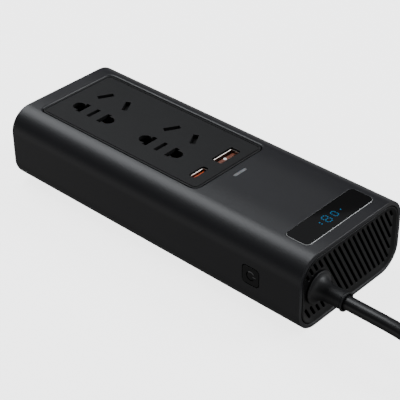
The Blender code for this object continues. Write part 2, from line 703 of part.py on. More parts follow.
def chassis_tray():
    floor = CAVITY_FLOOR + GAP
    low = (TRAY_START, -TRAY_WIDTH / 2, floor)
    tray = box("chassis_tray", low, (END - TRAY_FROM_FRONT, TRAY_WIDTH / 2, floor + TRAY), "black_nylon")
    top = floor + TRAY + BOSS_HEIGHT
    bosses = [
        prism("boss", "Z", circle(BOSS_RADIUS, 16, place), floor + TRAY / 2, top)
        for place in screw_places()
    ]
    fuse(tray, *bosses)
    holes = [
        prism("hole", "Z", circle(SCREW_RADIUS + GAP, 12, place), floor + TRAY / 3, top + WALL)
        for place in screw_places()
    ]
    return cut(tray, *holes)


def main_board():
    low = (-END + BOARD_ENDS[0], -BOARD_WIDTH / 2, BOARD_UNDER)
    board = box("main_board", low, (END - BOARD_ENDS[1], BOARD_WIDTH / 2, BOARD_TOP), "green_laminate")
    holes = [
        prism("hole", "Z", circle(SCREW_RADIUS + GAP, 12, place), BOARD_UNDER - WALL, BOARD_TOP + WALL)
        for place in screw_places()
    ]
    return cut(board, *holes)


def board_screws():
    for number, (x, y) in enumerate(screw_places(), 1):
        shank_low = CAVITY_FLOOR + GAP + TRAY / 3 + GAP
        seat = BOARD_TOP + GAP
        profile = [
            (0, SCREW_RADIUS), (seat - shank_low, SCREW_RADIUS),
            (seat - shank_low, SCREW_HEAD[0]), (seat - shank_low + SCREW_HEAD[1], SCREW_HEAD[0]),
        ]
        lathe(f"board_screw_{number}", profile, (x, y, shank_low), (0, 0, 1), "steel", 12)


def transformer():
    """A ferrite core with a wound bobbin round its middle leg."""
    x, y = LIGHT_X + CORE_PLACE[0], CORE_PLACE[1]
    low = BOARD_TOP + GAP
    long, deep, tall = CORE_SIZE
    first = (x - long / 2, y - deep / 2, low)
    core = box("transformer_core", first, (x + long / 2, y + deep / 2, low + tall), "ferrite")
    window = (long - 2 * CORE_LEG - CORE_CENTRE_LEG) / 2
    tools = []
    for side in (-1, 1):
        middle = x + side * (CORE_CENTRE_LEG + window) / 2
        hole = rectangle(window, tall - 2 * CORE_LEG, (middle, low + tall / 2))
        tools.append(prism("window", "Y", hole, y - deep, y + deep))
    cut(core, *tools)
    outer = rounded(CORE_CENTRE_LEG + 2 * (window - GAP), deep + 2 * WINDING_PROUD, WINDING_CORNER, 3, (x, y))
    inner = rectangle(CORE_CENTRE_LEG + 2 * GAP, deep + 2 * GAP, (x, y))
    bottom = low + CORE_LEG + GAP
    top = low + tall - CORE_LEG - GAP
    winding = prism("transformer_winding", "Z", outer, bottom, top, "copper_winding")
    cut(winding, prism("leg_space", "Z", inner, bottom - WALL, top + WALL))


def board_parts():
    """Capacitors, heat sink and its transistors, all standing on the main board."""
    low = BOARD_TOP + GAP
    cans = {
        "input_capacitor": (WINDOW_X + INPUT_CAN_PLACE[0], INPUT_CAN_PLACE[1], *INPUT_CAN),
        "output_capacitor": (LIGHT_X + OUTPUT_CAN_FROM_LIGHT, OUTPUT_CAN_Y, *OUTPUT_CAN),
    }
    for name, (x, y, radius, tall) in cans.items():
        body = [(CAN_EDGE, radius), (tall - CAN_EDGE, radius)]
        profile = [(0, radius - CAN_EDGE), *body, (tall, radius - CAN_EDGE)]
        smooth(lathe(name, profile, (x, y, low), (0, 0, 1), "capacitor_sleeve", 16))
    long, deep, tall = SINK_SIZE
    x0 = LIGHT_X + SINK_FROM_LIGHT
    y0 = BOARD_WIDTH / 2 - deep
    sink = box("heat_sink", (x0, y0, low), (x0 + long, y0 + deep, low + tall), "aluminium")
    pitch = (long - SINK_FIN) / (SINK_FINS - 1)
    channels = [
        box(
            "channel", (x0 + i * pitch + SINK_FIN, y0 + SINK_FIN, low - WALL),
            (x0 + (i + 1) * pitch, y0 + deep + WALL, low + tall + WALL),
        )
        for i in range(SINK_FINS - 1)
    ]
    cut(sink, *channels)
    wide, thick, high = TRANSISTOR_SIZE
    for number, share in enumerate(TRANSISTOR_SHARES, 1):
        x = x0 + long * share
        first = (x - wide / 2, y0 - GAP - thick, low)
        box(f"power_transistor_{number}", first, (x + wide / 2, y0 - GAP, low + high), "epoxy")


def cooling_fan():
    """A square frame with its motor on struts, and a rotor that spins in front of them."""
    start = -END + CAP_SKIRT + GAP
    side = PANEL_UNDER - 2 * GAP - CAVITY_FLOOR
    middle = CAVITY_FLOOR + GAP + side / 2
    throat = side / 2 - FAN_RIM
    back = start + FAN_DEPTH
    frame = prism("fan_frame", "X", rounded(side, side, 0.0020, 3, (0, middle)), start, back, "black_nylon")
    cut(frame, prism("throat", "X", circle(throat, 32, (0, middle)), start - WALL, back + WALL))
    struts = [prism("motor", "X", circle(FAN_HUB, 16, (0, middle)), back - FAN_STRUT, back)]
    for angle in (math.pi / 4, -math.pi / 4):
        bar = turned_outline(rectangle(2 * throat + FAN_RIM, FAN_STRUT), angle, (0, middle))
        struts.append(prism("strut", "X", bar, back - FAN_STRUT, back))
    fuse(frame, *struts)
    front = start + GAP
    rear = back - FAN_STRUT - 2 * GAP
    origin = (start, 0, middle)
    hub = lathe(
        "fan_rotor", [(0, FAN_HUB - 0.0005), (0.0005, FAN_HUB), (rear - front, FAN_HUB)],
        (front, 0, middle), (1, 0, 0), "black_nylon", 20, origin,
    )
    blades = []
    for number in range(FAN_BLADES):
        turn = 2 * math.pi * number / FAN_BLADES
        tilt = math.radians(9)
        reach = throat - FAN_BLADE_GAP
        inner, thick = FAN_HUB * 0.8, 0.0008
        leading = [(inner, -thick), (reach, -thick), (reach, thick), (inner, thick)]
        trailing = turned_outline(leading, tilt * 2)
        sections = [
            (front + GAP, turned_outline(leading, turn - tilt, (0, middle))),
            (rear - GAP, turned_outline(trailing, turn - tilt, (0, middle))),
        ]
        blades.append(loft("blade", "X", sections))
    smooth(fuse(hub, *blades))


def strain_relief():
    """A trumpet-shaped grommet, with a second flange behind the cap's plate."""
    back = CAP_BACK - GAP - RELIEF_FLANGE
    outer_flange = CAP_FACE + GAP
    marks = [
        (back, FLANGE_RADIUS - 0.0010), (CAP_BACK - GAP, FLANGE_RADIUS - 0.0010),
        (CAP_BACK - GAP, RELIEF_NECK), (outer_flange, RELIEF_NECK), (outer_flange, FLANGE_RADIUS),
        (outer_flange + RELIEF_RIM, FLANGE_RADIUS),
    ]
    for step in range(1, 6):
        angle = math.pi / 2 * step / 5
        along = outer_flange + RELIEF_RIM + RELIEF_FLARE * (1 - math.cos(angle))
        marks.append((along, FLANGE_RADIUS - (FLANGE_RADIUS - BARREL_RADIUS) * math.sin(angle)))
    marks += [
        (RELIEF_TIP - RELIEF_LIP, BARREL_RADIUS), (RELIEF_TIP - RELIEF_LIP, RELIEF_END),
        (RELIEF_TIP - RELIEF_LIP / 3, RELIEF_END), (RELIEF_TIP, BARREL_RADIUS),
    ]
    profile = [(along - back, radius) for along, radius in marks]
    smooth(lathe("strain_relief", profile, (back, LEAD_Y, MIDDLE), (1, 0, 0), "black_pvc", 28))


def smooth_path(points, spacing):
    """Points a set distance apart on a Catmull-Rom curve through the route's own points."""
    ends = [2 * points[0] - points[1], *points, 2 * points[-1] - points[-2]]
    fine = []
    for a, b, c, d in zip(ends, ends[1:], ends[2:], ends[3:]):
        for i in range(24):
            t = i / 24
            square = (2 * a - 5 * b + 4 * c - d) * t**2
            cube = (3 * b - a - 3 * c + d) * t**3
            fine.append(0.5 * (2 * b + (c - a) * t + square + cube))
    fine.append(points[-1])
    total = sum((q - p).length for p, q in zip(fine, fine[1:]))
    count = max(2, round(total / spacing))
    found, gone, wanted = [fine[0]], 0.0, total / count
    for p, q in zip(fine, fine[1:]):
        step = (q - p).length
        while gone + step >= wanted * len(found) and len(found) < count:
            found.append(p.lerp(q, (wanted * len(found) - gone) / step))
        gone += step
    return [*found, fine[-1]]


def tube(name, points, radius, finish):
    """A round tube with closed ends along a route, square to the route's first and last steps."""
    curve = bpy.data.curves.new(name, "CURVE")
    curve.dimensions = "3D"
    curve.bevel_depth = radius
    curve.bevel_resolution = 2
    curve.use_fill_caps = True
    spline = curve.splines.new("POLY")
    points = [Vector(p) for p in points]
    path = smooth_path(points, 5 * radius)
    path.insert(1, path[0] + (points[1] - points[0]).normalized() * radius)
    path.insert(-1, path[-1] + (points[-2] - points[-1]).normalized() * radius)
    spline.points.add(len(path) - 1)
    for point, place in zip(spline.points, path):
        point.co = (*place, 1)
    curve.materials.append(material_for(name, finish))
    obj = bpy.data.objects.new(name, curve)
    bpy.context.scene.collection.objects.link(obj)
    return obj


def input_leads():
    """The two conductors from the strain relief down to the main board."""
    start = CAP_BACK - GAP - RELIEF_FLANGE - GAP
    for word, side in (("positive", -1), ("negative", 1)):
        y = LEAD_Y + side * LEAD_WIRE_OFFSET
        end = END - BOARD_ENDS[1] - LEAD_WIRE_FROM_EDGE
        points = [
            (start, y, MIDDLE), (start - 0.0010, y, MIDDLE), (start - 0.0030, y, MIDDLE - 0.0010),
            (start - 0.0054, y, MIDDLE - 0.0040), (end, y, BOARD_TOP + 0.0030), (end, y, BOARD_TOP + GAP),
        ]
        tube(f"input_lead_{word}", points, LEAD_WIRE, "orange_insulator" if side < 0 else "black_pvc")


def half_turn(centre, low, high, start, steps=12):
    """Half a circle from one side of the hank to the other, anticlockwise."""
    radius = (high - low) / 2
    angles = [math.radians(start + 180 * step / steps) for step in range(steps + 1)]
    return [(centre + radius * math.cos(a), (low + high) / 2 + radius * math.sin(a)) for a in angles]


def hank_outlines():
    """The hank's outer outline, with the last run's end at its right, and the eye in its middle."""
    middle = LEAD_Y + HANK_TURN
    outer = HANK_TURN + TURN_STEP + CORD_RADIUS
    right = HANK_LEFT + HANK_RUN
    low = middle - outer
    outside = half_turn(right, low, middle + outer, -90)
    outside += half_turn(HANK_LEFT, low - TURN_STEP, middle + outer, 90)
    outside.append((right, low - TURN_STEP))
    eye = HANK_TURN - CORD_RADIUS
    inside = half_turn(right, middle - eye, middle + eye, -90)
    return outside, inside + half_turn(HANK_LEFT, middle - eye, middle + eye, 90)


def plug_axis():
    """The point at the back of the plug's boot. It lies beside the hank, on its grip."""
    hank_side = LEAD_Y + 2 * HANK_TURN + TURN_STEP + CORD_RADIUS
    x = HANK_LEFT + HANK_RUN - PLUG_BACK_FROM_HANK
    return Vector((x, hank_side + PLUG_FROM_HANK + PLUG_GRIP, PLUG_GRIP))


def power_cord():
    """The lead, the hank that it is folded into, and the stretch round to the plug."""
    fall = MIDDLE - (HANK_UNDER + CORD_DIAMETER + CORD_RADIUS + LEAD_CLEAR)
    lead = [(RELIEF_TIP + GAP, LEAD_Y, MIDDLE)]
    lead += [(RELIEF_TIP + along, LEAD_Y, MIDDLE - share * fall) for along, share in LEAD_FALL]
    tube("cord_lead", lead, CORD_RADIUS, "black_pvc")
    outside, inside = hank_outlines()
    hank = prism("cord_hank", "Z", outside, HANK_UNDER, HANK_UNDER + CORD_DIAMETER, "black_pvc")
    cut(hank, prism("eye", "Z", inside, 0, HANK_UNDER + 2 * CORD_DIAMETER))
    low = LEAD_Y - 2 * TURN_STEP
    boot = plug_axis()
    right = HANK_LEFT + HANK_RUN + GAP
    rest = CORD_RADIUS + GAP
    steps = 8
    tail = [(right, low, rest), (right + CORD_RADIUS, low, rest)]
    for step, (x, y) in enumerate(half_turn(right + CORD_RADIUS, low, boot.y, -90, steps)):
        climb = max(0.0, (step - 2) / (steps - 2)) ** 1.5
        if step:
            tail.append((x, y, rest + (boot.z - rest) * climb))
    tail += [(boot.x + CORD_DIAMETER, boot.y, boot.z), (boot.x + GAP, boot.y, boot.z)]
    tube("cord_tail", tail, CORD_RADIUS, "black_pvc")


def cord_tie():
    """A strap round the hank's two strands on the plug's side."""
    inner_low = LEAD_Y + 2 * HANK_TURN - CORD_RADIUS - GAP
    inner_high = LEAD_Y + 2 * HANK_TURN + TURN_STEP + CORD_RADIUS + GAP
    top = TIE_THICK + GAP + CORD_DIAMETER + GAP
    x = HANK_LEFT + HANK_RUN / 2
    wide = inner_high - inner_low
    centre = ((inner_low + inner_high) / 2, (TIE_THICK + top) / 2)
    outer_centre = (centre[0], (top + TIE_THICK) / 2)
    outline = rounded(wide + 2 * TIE_THICK, top + TIE_THICK, 1.5 * TIE_THICK, 3, outer_centre)
    hole = rectangle(wide, top - TIE_THICK, centre)
    tie = prism("cord_tie", "X", outline, x - TIE_WIDTH / 2, x + TIE_WIDTH / 2, "black_nylon")
    cut(tie, prism("hole", "X", hole, x - TIE_WIDTH, x + TIE_WIDTH))


def lighter_plug():
    """A 12 V plug: boot, body with a bore and side slots, nose ring, sprung tip, side springs, fuse."""
    boot, grip, barrel, nose = PLUG_LENGTHS.values()
    start = plug_axis()
    along = Vector((-1, 0, 0))
    profile = [(0, CORD_RADIUS + WALL / 2), (boot * 0.8, BOOT_RADIUS), (boot - GAP, BOOT_RADIUS)]
    smooth(lathe("plug_boot", profile, start, along, "black_pvc", 20))
    body_start = start + along * boot
    rounding, less, full = PLUG_GRIP_ROUND
    profile = [
        (0, PLUG_GRIP_END), (rounding, PLUG_GRIP - less), (full, PLUG_GRIP),
        (grip - PLUG_GRIP_TAPER, PLUG_GRIP), (grip, PLUG_BARREL), (grip + barrel, PLUG_BARREL),
    ]
    body = lathe("plug_body", profile, body_start, along, "black_abs", 28)
    bore_start = body_start + along * (grip + barrel + WALL)
    bore_depth = FUSE[1] + TIP_TRAVEL + 2 * WALL
    bore = lathe("bore", [(0, PLUG_BORE), (WALL + bore_depth, PLUG_BORE)], bore_start, -along, None, 20)
    slot_length, slot_height = SIDE_CONTACT
    slot_end = grip + barrel - SIDE_CONTACT_FROM_NOSE
    slot_x = body_start.x - slot_end + slot_length / 2
    tools = [bore]
    for side in (-1, 1):
        outline = rounded(slot_length + 2 * GAP, slot_height + 2 * GAP, 0.0010, 3, (slot_x, start.z))
        pocket_from = start.y + side * (PLUG_BORE + SLOT_POCKET_WALL)
        tools.append(prism("side_slot", "Y", outline, pocket_from, start.y + side * 2 * PLUG_BARREL))
    smooth(cut(body, *tools))
    for side, word in ((-1, "left"), (1, "right")):
        inner = start.y + side * (PLUG_BARREL - SIDE_CONTACT_DEPTH)
        outer = start.y + side * (PLUG_BARREL + SIDE_CONTACT_PROUD)
        edge = start.y + side * (PLUG_BARREL - SIDE_CONTACT_SUNK)
        base = rounded(slot_length, slot_height, 0.0010, 3, (slot_x, start.z))
        crown_size = (slot_length * SIDE_CONTACT_CROWN[0], slot_height * SIDE_CONTACT_CROWN[1])
        crown = rounded(*crown_size, 0.0008, 3, (slot_x, start.z))
        sections = [(inner, base), (edge, base), (outer, crown)]
        loft(f"plug_{word}_contact", "Y", sections, "nickel", (slot_x, edge, start.z))
    nose_start = body_start + along * (grip + barrel + GAP)
    profile = [
        (0, PLUG_BARREL), (NOSE_BAND, PLUG_BARREL), (NOSE_SHOULDER, PLUG_NOSE[0]), (nose, PLUG_NOSE[1]),
    ]
    ring = lathe("plug_nose_ring", profile, nose_start, along, "black_abs", 28)
    hole_radius = TIP_RADIUS + GAP
    hole = lathe("hole", [(0, hole_radius), (2 * nose, hole_radius)], nose_start - along * (nose / 2), along)
    hollow = nose - NOSE_WALL + WALL
    wide = lathe("wide", [(0, PLUG_BORE), (hollow, PLUG_BORE)], nose_start - along * WALL, along)
    smooth(cut(ring, hole, wide))
    tip_start = nose_start + along * (nose - NOSE_WALL - GAP)
    fuse_end = tip_start - along * TIP_SHOULDER
    reach = NOSE_WALL + TIP_PROUD
    profile = [
        (0, PLUG_BORE - GAP), (TIP_SHOULDER, PLUG_BORE - GAP), (TIP_SHOULDER, TIP_RADIUS),
        (reach, TIP_RADIUS), *[(reach + along_dome, TIP_RADIUS * share) for along_dome, share in TIP_DOME],
    ]
    smooth(lathe("plug_tip", profile, fuse_end, along, "nickel", 20, fuse_end))
    fuse_start = fuse_end - along * GAP
    fuse = [(0, FUSE[0]), (FUSE[1], FUSE[0])]
    smooth(lathe("plug_fuse", fuse, fuse_start, -along, "fuse_body", 16, fuse_start))


def build():
    clear_scene()
    housing_sleeve()
    rubber_feet()
    end_cap("front_grille_cap", 1, FLANGE_RADIUS + SLOT_WIDTH)
    end_cap("rear_grille_cap", -1, None)
    socket_panel()
    for number, x in enumerate(OUTLETS, 1):
        safety_shutter(number, x)
        outlet_base(number, x)
        outlet_contacts(number, x)
    usb_port("a", USB_A_HOLE, USB_A_Y, USB_A_DEPTH, USB_TONGUE_A, "white_insulator")
    usb_port("c", USB_C_HOLE, USB_C_Y, USB_C_DEPTH, USB_TONGUE_C, "orange_insulator")
    usb_board()
    status_light()
    display()
    power_button()
    chassis_tray()
    main_board()
    board_screws()
    transformer()
    board_parts()
    cooling_fan()
    strain_relief()
    input_leads()
    power_cord()
    cord_tie()
    lighter_plug()


build()
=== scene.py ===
"""The looks of the car power inverter: moulded black sleeve, outlet panel, display, grilles, lead and plug.
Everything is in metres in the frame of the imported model: +X towards the lead, +Z up, the surface at Z = 0."""

import json
import math

import bmesh
import bpy
from mathutils import Matrix, Vector


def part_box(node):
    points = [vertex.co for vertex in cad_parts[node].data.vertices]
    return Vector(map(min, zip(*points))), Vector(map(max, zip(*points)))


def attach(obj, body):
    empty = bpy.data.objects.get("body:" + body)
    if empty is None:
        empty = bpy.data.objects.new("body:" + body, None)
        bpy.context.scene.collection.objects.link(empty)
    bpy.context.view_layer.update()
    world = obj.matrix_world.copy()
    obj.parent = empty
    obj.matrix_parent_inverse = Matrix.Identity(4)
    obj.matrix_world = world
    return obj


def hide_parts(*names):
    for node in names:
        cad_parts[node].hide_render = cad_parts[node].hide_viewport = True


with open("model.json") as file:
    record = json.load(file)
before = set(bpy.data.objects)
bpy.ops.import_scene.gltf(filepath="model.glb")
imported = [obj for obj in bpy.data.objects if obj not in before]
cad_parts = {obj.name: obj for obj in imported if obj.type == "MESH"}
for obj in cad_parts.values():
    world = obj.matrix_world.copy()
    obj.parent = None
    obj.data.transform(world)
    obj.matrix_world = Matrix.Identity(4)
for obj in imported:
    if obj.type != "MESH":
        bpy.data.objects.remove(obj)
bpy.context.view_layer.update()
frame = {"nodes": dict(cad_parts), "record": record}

MM = 0.001

# Camera
CAMERA_AZIMUTH = math.radians(43.132)
CAMERA_ELEVATION = math.radians(34.692)
CAMERA_ROLL = math.radians(-0.616)
CAMERA_DISTANCE = 0.57386
CAMERA_TARGET = Vector((0.00553, -0.00422, 0.01609))
CAMERA_FIELD = math.radians(17.508)
NEAREST_SEEN = 0.01


def box_of(node):
    """(low corner, high corner, middle, size) of a node of the frame."""
    low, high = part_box(node)
    return low, high, (low + high) / 2, high - low


def widened(size, extra):
    """A size made larger by the same amount each way, or smaller if it is negative."""
    return size + Vector((extra, extra, extra))


# What the frame gives
SLEEVE_LOW, SLEEVE_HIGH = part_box("housing_sleeve")
END, SIDE, TOP = SLEEVE_HIGH
UNDER = SLEEVE_LOW.z
MIDDLE = (TOP + UNDER) / 2
BUTTON_LOW, BUTTON_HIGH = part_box("power_button")
WINDOW_LOW, WINDOW_HIGH, WINDOW_MIDDLE, WINDOW_SIZE = box_of("display_window")
PANEL_LOW, PANEL_HIGH, PANEL_MIDDLE, PANEL_SIZE = box_of("socket_panel")
LIGHT_LOW, LIGHT_HIGH, LIGHT_MIDDLE, LIGHT_SIZE = box_of("status_light_pipe")
RELIEF_LOW, RELIEF_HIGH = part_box("strain_relief")
TIE_LOW, TIE_HIGH, TIE_MIDDLE, TIE_SIZE = box_of("cord_tie")
BOOT_LOW, BOOT_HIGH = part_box("plug_boot")
OUTLETS = [box_of(f"outlet_base_{number}")[2].x for number in (1, 2)]
PLUG_Y = (BOOT_LOW.y + BOOT_HIGH.y) / 2
PLUG_Z = (BOOT_LOW.z + BOOT_HIGH.z) / 2

# Sizes that the design shares with these pieces
GAP = 0.3 * MM
CORNER = 11.2 * MM
WALL = 2.0 * MM
PANEL_LIP = 1.5 * MM
PANEL_CORNER = 3.4 * MM
WINDOW_CORNER = 2.6 * MM
BUTTON_SIZE = 9.2 * MM
PLATE = 1.8 * MM
LIP_THICK = 1.3 * MM
EARTH_Y = -7.5 * MM
PIN_RISE = 14.3 * MM
PIN_SIDE = 6.86 * MM
PIN_SLOT = (2.6 * MM, 7.7 * MM)
PIN_SPLAY = math.radians(30)
EARTH_SLOT = (2.0 * MM, 7.4 * MM)
PIN_CORNER = 0.15 * MM
FLAT_SLOT = (2.3 * MM, 7.7 * MM)
FLAT_INNER = 5.7 * MM
ROUND_SIDE = 9.6 * MM
ROUND_HOLE = 5.8 * MM
CAP_RIM = 0.7 * MM
DISH_DEPTH = 0.8 * MM
DISH_SLOPE = 1.9 * MM
CAP_PANEL = 1.8 * MM
CAP_SKIRT = 5.0 * MM
CAP_WALL = 1.5 * MM
SLOT_WIDTH = 1.15 * MM
SLOT_PITCH = 3.13 * MM
SLOT_LEAN = math.radians(29)
SLOT_PHASE = -1.07 * MM
SLOT_MARGINS = (5.2 * MM, 4.9 * MM)
SLOT_FIELD_CORNER = 4.2 * MM
SHORTEST_SLOT = 3.0 * MM
LEAD_Y = (RELIEF_LOW.y + RELIEF_HIGH.y) / 2
FLANGE_RADIUS = (RELIEF_HIGH.y - RELIEF_LOW.y) / 2
RELIEF_BORE = 5.3 * MM
CORD_RADIUS = 3.0 * MM
PLUG_BORE = 4.2 * MM

# How far out from the middle line the sleeve's top falls away, and how steeply
CROWN = (9.0 * MM, 36.0 * MM)
CROWN_TILT = 0.10


def linear(hex_colour):
    """An sRGB hex colour as linear RGBA."""
    parts = [int(hex_colour[i:i + 2], 16) / 255 for i in (1, 3, 5)]
    return (*[p / 12.92 if p <= 0.04045 else ((p + 0.055) / 1.055) ** 2.4 for p in parts], 1.0)


# ---- camera

def make_camera():
    level = Vector((math.cos(CAMERA_AZIMUTH), math.sin(CAMERA_AZIMUTH), 0))
    flat = math.cos(CAMERA_ELEVATION)
    back = Vector((level.y * flat, -level.x * flat, math.sin(CAMERA_ELEVATION)))
    upright = back.cross(level)
    right = level * math.cos(CAMERA_ROLL) + upright * math.sin(CAMERA_ROLL)
    up = back.cross(right)
    data = bpy.data.cameras.new("camera")
    data.angle = CAMERA_FIELD
    data.clip_start = NEAREST_SEEN
    camera = bpy.data.objects.new("camera", data)
    camera.matrix_world = Matrix.Translation(CAMERA_TARGET + back * CAMERA_DISTANCE) @ Matrix(
        (right, up, back)).transposed().to_4x4()
    bpy.context.scene.collection.objects.link(camera)
    bpy.context.scene.camera = camera


make_camera()


# ---- materials

def add_node(tree, kind, settings=None, links=None):
    """Adds a node. Settings go to its properties or its unlinked inputs. Links join its inputs to an output,
    or to a node's first output."""
    node = tree.nodes.new(kind)
    for key, value in (settings or {}).items():
        if isinstance(key, str) and key[0].islower():
            setattr(node, key, value)
        else:
            node.inputs[key].default_value = value
    for key, source in (links or {}).items():
        tree.links.new(getattr(source, "outputs", [source])[0], node.inputs[key])
    return node


def calculate(tree, operation, *terms):
    """A Math node on terms that are numbers, nodes or outputs."""
    numbers = {i: term for i, term in enumerate(terms) if isinstance(term, (int, float))}
    sources = {i: term for i, term in enumerate(terms) if i not in numbers}
    return add_node(tree, "ShaderNodeMath", {"operation": operation, **numbers}, sources)


def crowned(tree, place):
    """The normal of a top that starts to fall a long way before its rounded edges, as a moulded sleeve's does."""
    across = add_node(tree, "ShaderNodeSeparateXYZ", links={0: place})
    away = calculate(tree, "ABSOLUTE", across.outputs["Y"])
    share = add_node(tree, "ShaderNodeMapRange", {"From Min": CROWN[0], "From Max": CROWN[1]}, {"Value": away})
    wave = calculate(tree, "SINE", calculate(tree, "MULTIPLY", share, 2 * math.pi))
    lean = calculate(tree, "MULTIPLY_ADD", wave, -0.5 / math.pi, share)
    fall = calculate(tree, "MULTIPLY", lean, -CROWN_TILT * (CROWN[1] - CROWN[0]) / 2)
    return add_node(tree, "ShaderNodeBump", {"Strength": 1.0, "Distance": 1.0}, {"Height": fall})


RELIEF_HEIGHT = 0.05 * MM


def finish_material(name, colour, shades, bump, roughness, sources, sockets, shape=None):
    """A Principled material whose colour, fine relief and roughness vary over the surface.
    sources(tree, place) gives what mixes the two shades and what makes the relief."""
    material = bpy.data.materials.new(name)
    material.use_nodes = True
    tree = material.node_tree
    shader = tree.nodes["Principled BSDF"]
    shader.inputs["Base Color"].default_value = linear(colour)
    for key, value in sockets.items():
        shader.inputs[key].default_value = value
    place = add_node(tree, "ShaderNodeTexCoord").outputs["Object"]
    cloud, grain = sources(tree, place)
    tint = add_node(tree, "ShaderNodeMix", {"data_type": "RGBA", 6: linear(shades[0]), 7: linear(shades[1])},
                    {0: cloud})
    under = {"Normal": shape(tree, place)} if shape else {}
    relief = add_node(tree, "ShaderNodeBump", {"Strength": bump, "Distance": RELIEF_HEIGHT},
                      {"Height": grain, **under})
    spread = add_node(tree, "ShaderNodeMapRange", {"To Min": roughness[0], "To Max": roughness[1]},
                      {"Value": grain})
    for source, key in ((tint.outputs[2], "Base Color"), (relief.outputs[0], "Normal"),
                        (spread.outputs[0], "Roughness")):
        tree.links.new(source, shader.inputs[key])
    return material


def grained(name, colour, shades, cloud_mm, grain_mm, bump, roughness, shape=None, **sockets):
    """A cloudy colour between two shades, a grain in the surface and roughness that follows it."""
    def sources(tree, place):
        return [add_node(tree, "ShaderNodeTexNoise", {"Scale": 1 / (size * MM), "Detail": detail},
                         {"Vector": place}) for size, detail in ((cloud_mm, 3.0), (grain_mm, 2.0))]
    return finish_material(name, colour, shades, bump, roughness, sources, sockets, shape)


# A wave texture repeats every 2 pi / 20 at a scale of 1
WAVE_PITCH = 0.314


def ringed(name, colour, shades, pitch_mm, bump, roughness, direction="X", **sockets):
    """Fine rings left by turning or winding, a set distance apart."""
    def sources(tree, place):
        rings = add_node(tree, "ShaderNodeTexWave",
                         {"wave_type": "BANDS", "bands_direction": direction,
                          "Scale": WAVE_PITCH / (pitch_mm * MM), "Distortion": 0.4, "Detail": 1.0},
                         {"Vector": place})
        return rings.outputs["Fac"], rings.outputs["Fac"]
    return finish_material(name, colour, shades, bump, roughness, sources, sockets)


# Each grained finish: name, colour, its two shades, size of the clouds and of the grain in mm, how strong the
# grain is, and the range of its roughness. A ringed one has the rings' pitch in mm in place of the two sizes.

# ABS moulded in a spark-eroded steel mould: an even fine grain that spreads highlights into soft bands.
# The real grain is about 0.06 mm, which wouldn't show, so it is drawn at 0.3 mm.
SLEEVE_ABS = grained("satin_moulded_abs", "#26262a", ("#232326", "#28282b"), 14, 0.3, 0.16, (0.36, 0.44),
                     crowned, IOR=1.5)
# The same plastic from a duller mould: the panel is a touch darker and flatter than the sleeve.
PANEL_ABS = grained("matte_moulded_abs", "#161617", ("#141415", "#19191a"), 10, 0.25, 0.12, (0.46, 0.55), IOR=1.42)
# The grilles' and the plug's ABS: satin and darker, with the dull shine of thin bars.
GRILLE_ABS = grained("grille_abs", "#111112", ("#0f0f10", "#141415"), 8, 0.3, 0.10, (0.36, 0.44), IOR=1.45,
                     **{"Specular IOR Level": 0.36})
# Glass-filled nylon: dull, deep black, for what sits behind the holes and for the tie.
# It is also painted shade on the walls inside the outlet panel's holes.
NYLON_AND_HOLE_SHADE = grained("black_nylon", "#0a0a0a", ("#070707", "#0d0d0d"), 5, 0.4, 0.2, (0.65, 0.8), IOR=1.4)
# Cast acrylic with a smoked tint: almost black, mirror smooth, so it shows the lights as sharp shapes.
ACRYLIC = grained("smoked_acrylic", "#070708", ("#060607", "#080809"), 20, 6.0, 0.004, (0.03, 0.05), IOR=1.49)
# Painted highlight on the acrylic's bevelled edge: a pale grey, so it shows as a fine pale line.
PAINTED_EDGE_HIGHLIGHT = grained("painted_highlight_acrylic_edge", "#c4c4c4", ("#b8b8b8", "#d2d2d2"), 4.0, 0.15, 0.05, (0.18, 0.28),
                      IOR=1.49)
# Lit segments behind the acrylic: they glow and share its polish.
LIT_SEGMENT = grained("lit_blue_segment", "#0b3550", ("#0a3048", "#0c3a58"), 1.0, 1.0, 0.0, (0.05, 0.07),
                      **{"Emission Color": linear("#1e8fc8"), "Emission Strength": 0.55})
# Frosted polycarbonate light pipe, unlit: mid grey and soft.
DIFFUSER = grained("frosted_polycarbonate", "#757577", ("#747476", "#828284"), 2.0, 0.25, 0.1, (0.4, 0.5),
                   IOR=1.58, **{"Subsurface Weight": 0.2, "Subsurface Scale": 0.4 * MM})
# Painted highlight on the power mark: a light grey a little lighter than the light pipe, laid over the upper right
# of the mark's circle and along its bar; the groove is black elsewhere.
PAINTED_MARK_HIGHLIGHT = grained("painted_highlight_mark", "#8a8a8c", ("#808082", "#949496"), 1.0, 0.3, 0.05, (0.2, 0.3),
                     IOR=1.58)
# Flexible PVC, extruded: satin and nearly even, so that one soft highlight runs along the cord.
PVC = grained("extruded_pvc", "#1b1b1d", ("#19191b", "#1f1f21"), 9, 0.5, 0.015, (0.33, 0.37), IOR=1.53)
# Moulded PVC of the strain relief and the plug's boot, a little softer.
PVC_MOULDED = grained("moulded_pvc", "#1c1c1e", ("#1a1a1c", "#202022"), 6, 0.35, 0.02, (0.46, 0.52), IOR=1.53)
RUBBER = grained("foot_rubber", "#1c1c1c", ("#181818", "#222222"), 3, 0.4, 0.35, (0.7, 0.85), IOR=1.52)
# Cold-drawn steel with a dull nickel flash, for the USB shells and the plug's side springs.
NICKEL = grained("nickel_plated_steel", "#a8a19b", ("#989089", "#b8b2ac"), 2.0, 0.35, 0.08, (0.22, 0.34),
                 Metallic=1.0)
# Turned brass under bright nickel: faint tool rings.
TURNED_NICKEL = ringed("turned_nickel", "#d2cdc4", ("#c8c3ba", "#dad6ce"), 0.35, 0.12, (0.14, 0.24), Metallic=1.0)
BRASS = grained("stamped_brass", "#c79a4b", ("#b98c40", "#d0a557"), 3, 0.4, 0.1, (0.22, 0.36), Metallic=1.0)
